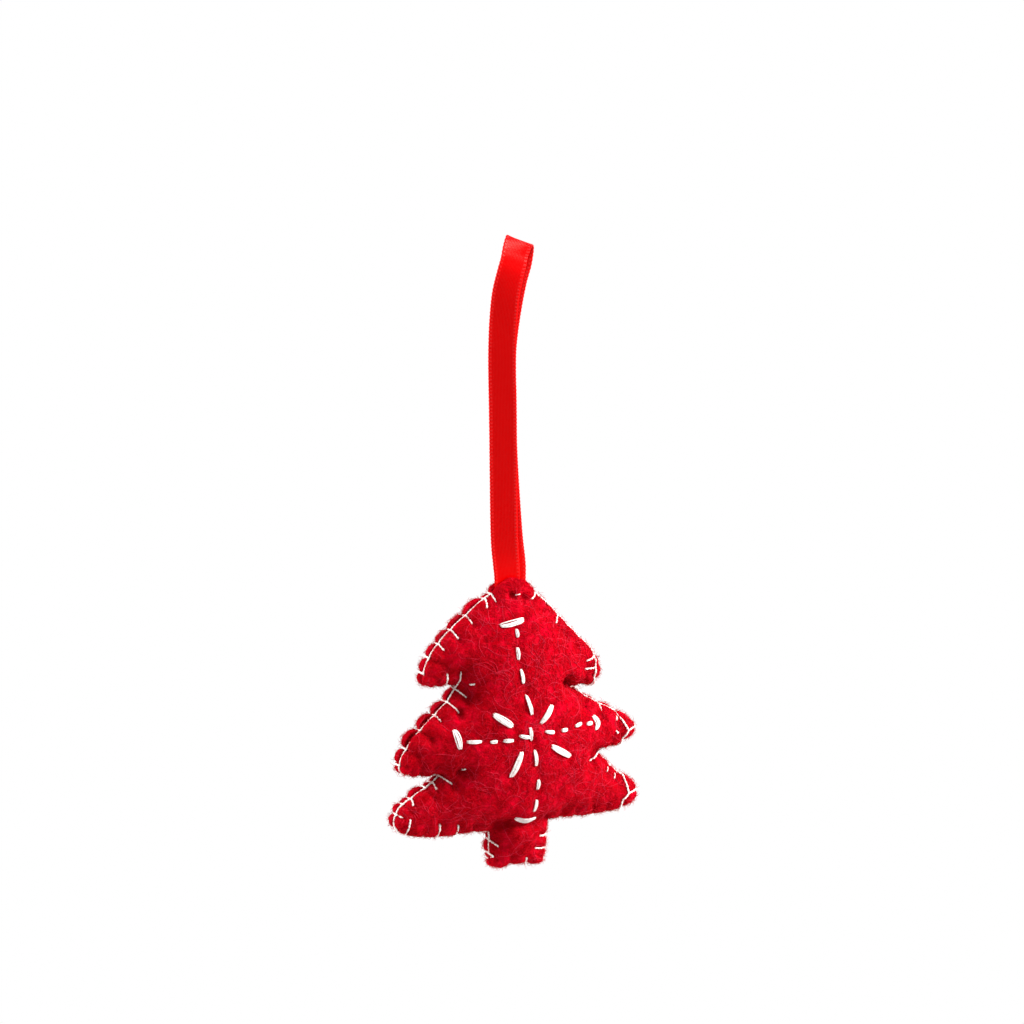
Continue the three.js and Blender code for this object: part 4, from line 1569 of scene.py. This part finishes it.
LOOSE_FIBRES: tuple[Fibres, ...] = (
    Fibres("curls", Dye.PALE, 460, Region.FACE, (2.5, 8.0), lift=0.0, curl=2.6, steps=9, radius=0.044),
    Fibres("nap", Dye.DEEP, 4000, Region.FACE, (1.2, 3.2), lift=0.0, curl=2.0, steps=5, radius=0.035),
    Fibres("pile", Dye.DEEP, 4200, Region.FACE, (0.6, 1.5), lift=0.4, curl=2.0, steps=4, radius=0.03),
    Fibres("edge_fuzz", Dye.DEEP, 4200, Region.EDGE, (0.5, 1.3), lift=0.6, curl=1.4, steps=4, radius=0.028),
    Fibres("wisps", Dye.PALE, 180, Region.EDGE, (1.0, 2.0), lift=0.7, curl=2.2, steps=6, radius=0.026),
    Fibres("crown_fuzz", Dye.DEEP, 260, Region.CROWN, (0.3, 0.8), lift=0.4, curl=1.6, steps=4, radius=0.03),
)


@dataclass
class Fuzz:
    """The loose fibres on a felt panel: some lie curled on its face, and short ones stand off it.

    Tilts are from -1 for felt that faces inwards to 1 for felt that faces straight out.
    """

    panel: FeltPanel
    dice: np.random.Generator
    face_tilt: float = 0.1
    edge_tilts: tuple[float, float] = (-0.4, 0.85)
    edge_depths: tuple[float, float] = (0.4, 3.2)
    edge_top: float = -0.6
    crown_tilt: float = -0.2
    crown_foot: float = -0.4
    bend: float = 0.7
    droop: float = 1.3
    hover: float = 0.06
    tapers: tuple[float, ...] = (1.0, 1.0, 0.8, 0.4)

    def build(self, sort: Fibres, finish: Material) -> Object:
        """Make one piece of loose wool.

        Args:
            sort: the fibres' number, place and form.
            finish: the wool's material.

        Returns:
            The piece.
        """
        lines = self.grow(sort, *self.scatter(sort))
        mesh = strands_mesh(lines, sort.radius, 4, self.tapers)
        piece = new_object(f"{self.panel.side.name.lower()}_{sort.name}", mesh, finish)
        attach(piece, "tree")
        return piece

    def scatter(self, sort: Fibres) -> tuple[Array, Array]:
        """Pick places on the felt.

        Args:
            sort: how many fibres there are, and the part of the felt that they keep to.

        Returns:
            The places and the directions square to the felt there.
        """
        mesh = self.panel.piece.data
        mesh.calc_loop_triangles()
        corners = mesh_points(mesh)[np.array([t.vertices[:] for t in mesh.loop_triangles])]
        square = np.cross(corners[:, 1] - corners[:, 0], corners[:, 2] - corners[:, 0])
        area = np.linalg.norm(square, axis=1)
        square = square / np.maximum(area, TINY)[:, None]
        _, y, z = (corners.mean(axis=1) - self.panel.origin).T
        tilt, depth = square[:, 1] * self.panel.side.value, np.abs(y)
        if sort.region is Region.FACE:
            grown = tilt > self.face_tilt
        elif sort.region is Region.EDGE:
            sewn = (depth > self.edge_depths[0]) & (depth < self.edge_depths[1]) & (z < self.edge_top)
            grown = sewn & (tilt > self.edge_tilts[0]) & (tilt < self.edge_tilts[1])
        else:
            grown = (z > self.crown_foot) & (tilt > self.crown_tilt)
        weight = area * grown
        chosen = self.dice.choice(len(area), sort.count, p=weight / weight.sum())
        share = self.dice.dirichlet((1, 1, 1), sort.count)
        return np.einsum("nc,nca->na", share, corners[chosen]), square[chosen]

    def grow(self, sort: Fibres, places: Array, square: Array) -> list[Array]:
        """Grow one fibre from each place.

        Args:
            sort: the fibres' form.
            places: where they start.
            square: the directions square to the felt.

        Returns:
            The fibres' lines.
        """
        count, steps = sort.count, sort.steps
        way = self.dice.normal(size=(count, 3))
        stride = (self.dice.uniform(*sort.length, count) / steps)[:, None]
        turn = self.dice.normal(0, sort.curl / steps, (count, 1))
        rise = np.abs(self.dice.normal(sort.lift, sort.lift / 2, count))[:, None]
        here = places
        lines = [here]
        for step in range(steps):
            way = unit(way - np.sum(way * square, axis=1, keepdims=True) * square)
            way = np.cos(turn) * way + np.sin(turn) * np.cross(square, way)
            turn = self.bend * turn + self.dice.normal(0, self.bend * sort.curl / steps, (count, 1))
            here = here + (way + rise * (1 - self.droop * step / steps) * square) * stride
            if sort.lift == 0:
                here, square = self.lay(here)
            lines.append(here)
        return list(np.stack(lines, axis=1))

    def lay(self, points: Array) -> tuple[Array, Array]:
        """Bring points down to just above the felt.

        Args:
            points: the points.

        Returns:
            The points there, and the directions square to the felt.
        """
        hits = [self.panel.tree.find_nearest(point)[:2] for point in points.tolist()]
        square = np.array([tuple(hit[1]) for hit in hits])
        return np.array([tuple(hit[0]) for hit in hits]) + self.hover * square, square


# Ribbon


@dataclass(frozen=True)
class Ribbon:
    """One length of satin ribbon: a folded loop, with both ends sewn in between the panels.

    It is swept as one piece and cut at the crease where it leaves the felt. twist_top and twist_foot are not
    used.
    """

    width: float = 6.0
    thickness: float = 0.3
    picot_pitch: float = 0.8
    picot_depth: float = 0.07
    step: float = 0.16
    fold_depth: float = 22.0
    crease: float = -72.4
    bend: float = 1.2
    straight_end: float = 5.0
    twist_top: float = -4.0
    twist_foot: float = -70.0

    def leg(self, share: float) -> float:
        """A height on the legs, as its share of the way from the fold to the crease."""
        return -self.fold_depth + (self.crease + self.fold_depth) * share

    def sewn_end(self, node: str) -> list[Station]:
        """The route of one sewn end, upwards.

        Args:
            node: the end's CAD solid.

        Returns:
            Its lowest station and one a little under the felt's edge.
        """
        low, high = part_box(node)
        x, y, foot = (low.x + high.x) / 2 / MM, (low.y + high.y) / 2 / MM, low.z / MM
        return [(x, y, foot, 0, 0), (x, y, foot + self.straight_end, 0, 0)]

    def route(self) -> list[Station]:
        """The ribbon's whole route.

        Returns:
            Stations of x, y, z, and in degrees the turn of the width about Z and its lean to the right.
        """
        leg = self.leg
        return [
            *self.sewn_end("ribbon_front_tail"),
            (-3.15, -0.30, leg(1), -5, 0),
            (-3.40, -0.36, leg(0.95), -8, 0),
            (-4.05, -0.80, leg(0.82), -17, 0),
            (-4.55, -1.40, leg(0.5), -22, 0),
            (-4.85, -1.80, leg(0.25), -24, 0),
            (-5.10, -1.95, leg(0.1), -25, 1),
            (-5.12, -2.05, leg(0), -25, 3),
            (-4.90, -2.10, -16.5, -26, 7),
            (-4.41, -2.30, -10.9, -23, 12),
            (-3.36, -2.45, -6.3, -15, 17),
            (-2.50, -2.15, -3.9, -11, 19),
            (-1.80, -1.55, -2.1, -12, 20),
            (-1.10, -1.00, -0.85, -18, 20),
            (-0.50, -0.50, -0.10, -24, 20),
            (0.0, 0.0, self.thickness / 2, -26, 20),
            (0.62, 1.10, -0.25, -26, 20),
            (1.10, 1.95, -1.2, -26, 20),
            (1.18, 2.30, -2.6, -26, 20),
            (0.70, 2.28, -5.2, -26, 17),
            (-0.55, 2.20, -9.2, -26, 13),
            (-1.95, 2.05, -15.5, -26, 8),
            (-2.95, 1.95, leg(0), -25, 3),
            (-3.20, 1.90, leg(0.1), -25, 1),
            (-3.20, 1.75, leg(0.25), -24, 0),
            (-3.10, 1.30, leg(0.5), -22, 0),
            (-2.20, 0.80, leg(0.82), -17, 0),
            (-1.55, 0.36, leg(0.95), -8, 0),
            (-1.40, 0.30, leg(1), -5, 0),
            *reversed(self.sewn_end("ribbon_back_tail")),
        ]

    def section(self, along: float) -> list[Place]:
        """The ribbon's outline across: a thin middle and a row of small loops along each edge.

        Args:
            along: the distance along the ribbon.

        Returns:
            Places across the ribbon and square to it.
        """
        half, thin = self.width / 2, self.thickness / 2
        bead = 0.5 + 0.5 * math.sin(2 * math.pi * along / self.picot_pitch)
        rim = (half - self.picot_depth * (1 - bead), 0.0)
        corner = (half - 0.22, thin * (0.8 + 0.25 * bead))
        top = [rim, corner, (half - 0.5, thin * 0.75), (half - 0.8, thin * 0.7), (half * 0.35, thin * 0.8)]
        upper = [*top, *[(-u, t) for u, t in reversed(top)]]
        return [*upper, *[(u, -t) for u, t in reversed(upper[1:-1])]]

    def sections(self, stations: Array) -> tuple[Array, Array]:
        """Place the outline at every station.

        Args:
            stations: the stations, as route gives them.

        Returns:
            The outlines' points, and their places in the weave in millimetres.
        """
        line, turns = stations[:, :3], np.radians(stations[:, 3:])
        ahead = unit(np.gradient(line, axis=0))
        points, weave = [], []
        for at, along, (yaw, lean), far in zip(line, ahead, turns, arc_lengths(line)):
            level = np.array([math.cos(yaw), math.sin(yaw), 0.0])
            across = math.cos(lean) * level - math.sin(lean) * np.array([0.0, 0.0, 1.0])
            across = unit(across - along * (across @ along))
            up = np.cross(along, across)
            outline = self.section(far)
            points.append([at + u * across + t * up for u, t in outline])
            weave.append([(u, far) for u, _ in outline])
        return np.array(points), np.array(weave)

    def strip(self, name: str, points: Array, weave: Array, finish: Material) -> Object:
        """Join outlines into one closed length of ribbon.

        Args:
            name: the piece's name.
            points: the outlines' points.
            weave: their places in the weave.
            finish: the satin's material.

        Returns:
            The piece.
        """
        rings, sides = points.shape[:2]
        faces = []
        for ring in range(rings - 1):
            for side in range(sides):
                a, b = ring * sides + side, ring * sides + (side + 1) % sides
                faces.append((a, a + sides, b + sides, b))
        last = (rings - 1) * sides
        faces += [tuple(range(sides)), tuple(reversed(range(last, last + sides)))]
        mesh = mesh_from(points.reshape(-1, 3), faces)
        layer = mesh.uv_layers.new(name="weave")
        places = weave.reshape(-1, 2)
        for corner in mesh.loops:
            layer.data[corner.index].uv = places[corner.vertex_index]
        face_outwards(mesh, cuts=2)
        piece = new_object(name, mesh, finish)
        return piece

    def build(self, finish: Material) -> list[Object]:
        """Make the loop and the two sewn ends.

        Args:
            finish: the satin's material.

        Returns:
            The three pieces.
        """
        stations = smooth_line(self.route(), self.step)
        points, weave = self.sections(stations)
        outside = np.flatnonzero(stations[:, 2] >= self.crease)
        first, last = outside[0], outside[-1]
        loop = self.strip("ribbon_loop", points[first : last + 1], weave[first : last + 1], finish)
        self.hang(loop, stations[first : last + 1, :3])
        front = self.strip("ribbon_front_end", points[: first + 1], weave[: first + 1], finish)
        back = self.strip("ribbon_back_end", points[last:], weave[last:], finish)
        for end, node in ((front, "ribbon_front_tail"), (back, "ribbon_back_tail")):
            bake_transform(end)
            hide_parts(node)
        return [loop, front, back]

    def hang(self, loop: Object, line: Array) -> None:
        """Log the loop's length, fix its mesh in place and hide the CAD solids that it stands for.

        Args:
            loop: the piece.
            line: its middle line.
        """
        length = arc_lengths(line)[-1]
        LOG.info("ribbon is %.1f mm long", length)
        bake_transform(loop)
        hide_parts("ribbon_fold", "ribbon_front_leg", "ribbon_back_leg")


# Studio


@dataclass(frozen=True)
class Lamp:
    """A round soft light: its place and width in millimetres, and its power in watts."""

    name: str
    place: Point
    width: float
    power: float

    def hang(self, aim: Vector) -> None:
        """Hang the light so that it shines at a place.

        Args:
            aim: the place in millimetres.
        """
        data = bpy.data.lights.new(self.name, "AREA")
        data.shape = "DISK"
        data.size = self.width * MM
        data.energy = self.power
        lamp = bpy.data.objects.new(self.name, data)
        lamp.location = Vector(self.place) * MM
        lamp.rotation_euler = (aim - Vector(self.place)).to_track_quat("-Z", "Y").to_euler()
        bpy.context.scene.collection.objects.link(lamp)


@dataclass(frozen=True)
class Studio:
    """The camera, the soft lights and the white paper that the ornament hangs over.

    The key light is at the upper right, the fill at the upper left and the rim light behind at the left.
    """

    azimuth: float = -26.0
    elevation: float = 13.0
    distance: float = 1500.0
    pixel: float = 0.215
    picture: int = 1024
    fold_pixel: tuple[float, float] = (519.5, 243.5)
    depth: float = 13.5
    floor: float = -400.0
    floor_radius: float = 320.0
    floor_glow: float = 0.8
    ambient: float = 0.5
    tree_middle: Point = (-2.0, 0.0, -95.0)
    lamps: tuple[Lamp, ...] = (
        Lamp("key", (750, -440, 430), 420, 25.0),
        Lamp("fill", (-380, -620, 620), 600, 0.8),
        Lamp("rim", (-850, 300, 340), 450, 14.0),
    )

    def build(self) -> None:
        """Set up the whole studio."""
        self.camera()
        for lamp in self.lamps:
            lamp.hang(Vector(self.tree_middle))
        self.paper()
        self.world()

    def camera(self) -> None:
        """Place the camera so that the ribbon's fold falls on its pixel."""
        turn, rise = math.radians(self.azimuth), math.radians(self.elevation)
        right = Vector((math.cos(turn), math.sin(turn), 0))
        look = Vector((-math.sin(turn) * math.cos(rise), math.cos(turn) * math.cos(rise), -math.sin(rise)))
        up = right.cross(look)
        middle = self.picture / 2
        aside = (middle - self.fold_pixel[0]) * self.pixel
        below = (self.fold_pixel[1] - middle) * self.pixel
        aim = right * aside + up * below
        data = bpy.data.cameras.new("camera")
        data.sensor_width = 36.0
        data.lens = data.sensor_width * (self.distance + self.depth) / (self.picture * self.pixel)
        data.clip_end = 100.0
        camera = bpy.data.objects.new("camera", data)
        camera.location = (aim - look * self.distance) * MM
        camera.rotation_euler = look.to_track_quat("-Z", "Y").to_euler()
        bpy.context.scene.collection.objects.link(camera)
        bpy.context.scene.camera = camera

    def paper(self) -> None:
        """Lay the white paper below the ornament."""
        sheet = bmesh.new()
        bmesh.ops.create_circle(sheet, cap_ends=True, segments=96, radius=self.floor_radius * MM)
        bmesh.ops.translate(sheet, vec=(0, 0, self.floor * MM), verts=sheet.verts)
        mesh = bpy.data.meshes.new("paper")
        sheet.to_mesh(mesh)
        sheet.free()
        material, tree, shader = new_material("white_paper")
        feed(shader, {"Base Color": linear("F4F4F4"), "Roughness": 0.9})
        share = add_node(tree, "Math", {0: self.seen(tree), 1: self.floor_glow}, operation="MULTIPLY")
        glow = add_node(tree, "Emission", {"Color": linear("FFFFFF"), "Strength": 1.0})
        mix = add_node(tree, "MixShader", {0: share, 1: shader, 2: glow})
        feed(tree.nodes["Material Output"], {"Surface": mix})
        new_object("paper", mesh, material)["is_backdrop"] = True

    @staticmethod
    def seen(tree: NodeTree) -> Node:
        """Whether a ray comes from the camera, a reflection or something clear.

        Args:
            tree: the node tree of a material or a world.

        Returns:
            A value of 1 for such rays and 0 for others.
        """
        ray = add_node(tree, "LightPath").outputs
        direct = {0: ray["Is Camera Ray"], 1: ray["Is Glossy Ray"]}
        both = add_node(tree, "Math", direct, operation="MAXIMUM")
        return add_node(tree, "Math", {0: both, 1: ray["Is Transmission Ray"]}, operation="MAXIMUM")

    def world(self) -> None:
        """Light everything evenly, with a white background to look at."""
        world = bpy.data.worlds.new("studio")
        world.use_nodes = True
        bpy.context.scene.world = world
        tree = world.node_tree
        ambient = tree.nodes["Background"]
        feed(ambient, {"Color": linear("FFFFFF"), "Strength": self.ambient})
        white = add_node(tree, "Background", {"Color": linear("FFFFFF"), "Strength": 1.0})
        mix = add_node(tree, "MixShader", {0: self.seen(tree), 1: ambient, 2: white})
        feed(tree.nodes["World Output"], {"Surface": mix})


# The whole ornament


def corners(bounds: tuple[Vector, Vector]) -> list[list[float]]:
    """A box's two corners as plain numbers."""
    return [[float(value) for value in corner] for corner in bounds]


def report(*pieces: Object) -> None:
    """Say which pieces are built."""
    for piece in pieces:
        LOG.info("built %s", piece.name)


def main() -> None:
    """Build the ornament piece by piece and report each."""
    logging.basicConfig(level=logging.INFO, format="%(message)s")
    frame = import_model()
    cad_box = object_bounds()
    bpy.context.scene.view_settings.view_transform = "Standard"
    Studio().build()
    report(*Ribbon().build(SatinRibbon().build()))

    # The tree hangs a little to the left of the fold
    tree_x = -2.2
    origin = np.array([tree_x, 0.0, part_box("front_panel")[1].z / MM])
    outline, felt = Outline(), WoolFelt().build()
    front = FeltPanel(
        Side.FRONT, outline, origin, "front_panel", lobe=0.4, depth=6.8, fullness=0.56, crown=2.3
    )
    back = FeltPanel(
        Side.BACK,
        outline,
        origin,
        "back_panel",
        lobe=0.85,
        depth=7.1,
        fullness=0.5,
        crown=1.5,
        edge_pinched=1.5,
        edge_loose=2.0,
    )
    report(front.build(felt), back.build(felt))
    report(Stuffing().build(Fibrefill().build(), frame["nodes"]["stuffing"]))

    # Painted light: the edge thread's sewing cotton is whiter than the embroidery's stranded cotton, so that
    # the thread lying in shade along the seam and in the notches still looks lit.
    sewing = CottonFloss("sewing_cotton_painted_lit", light="FFFEFA", shade="F8F0E8").build()
    floss = CottonFloss("stranded_cotton", light="F4F1EE", shade="E4D8D2").build()
    report(EdgeThread(outline, front, back).build(sewing))
    report(*Embroidery(front).build(floss))

    fuzz_seed = 23
    dice = np.random.default_rng(fuzz_seed)
    wool = {dye: LooseWool(dye).build() for dye in Dye}
    for panel in (front, back):
        fuzz = Fuzz(panel, dice)
        report(*(fuzz.build(sort, wool[sort.dye]) for sort in LOOSE_FIBRES))

    {"cad": corners(cad_box), "visual": corners(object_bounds())}


if __name__ == "__main__":
    main()
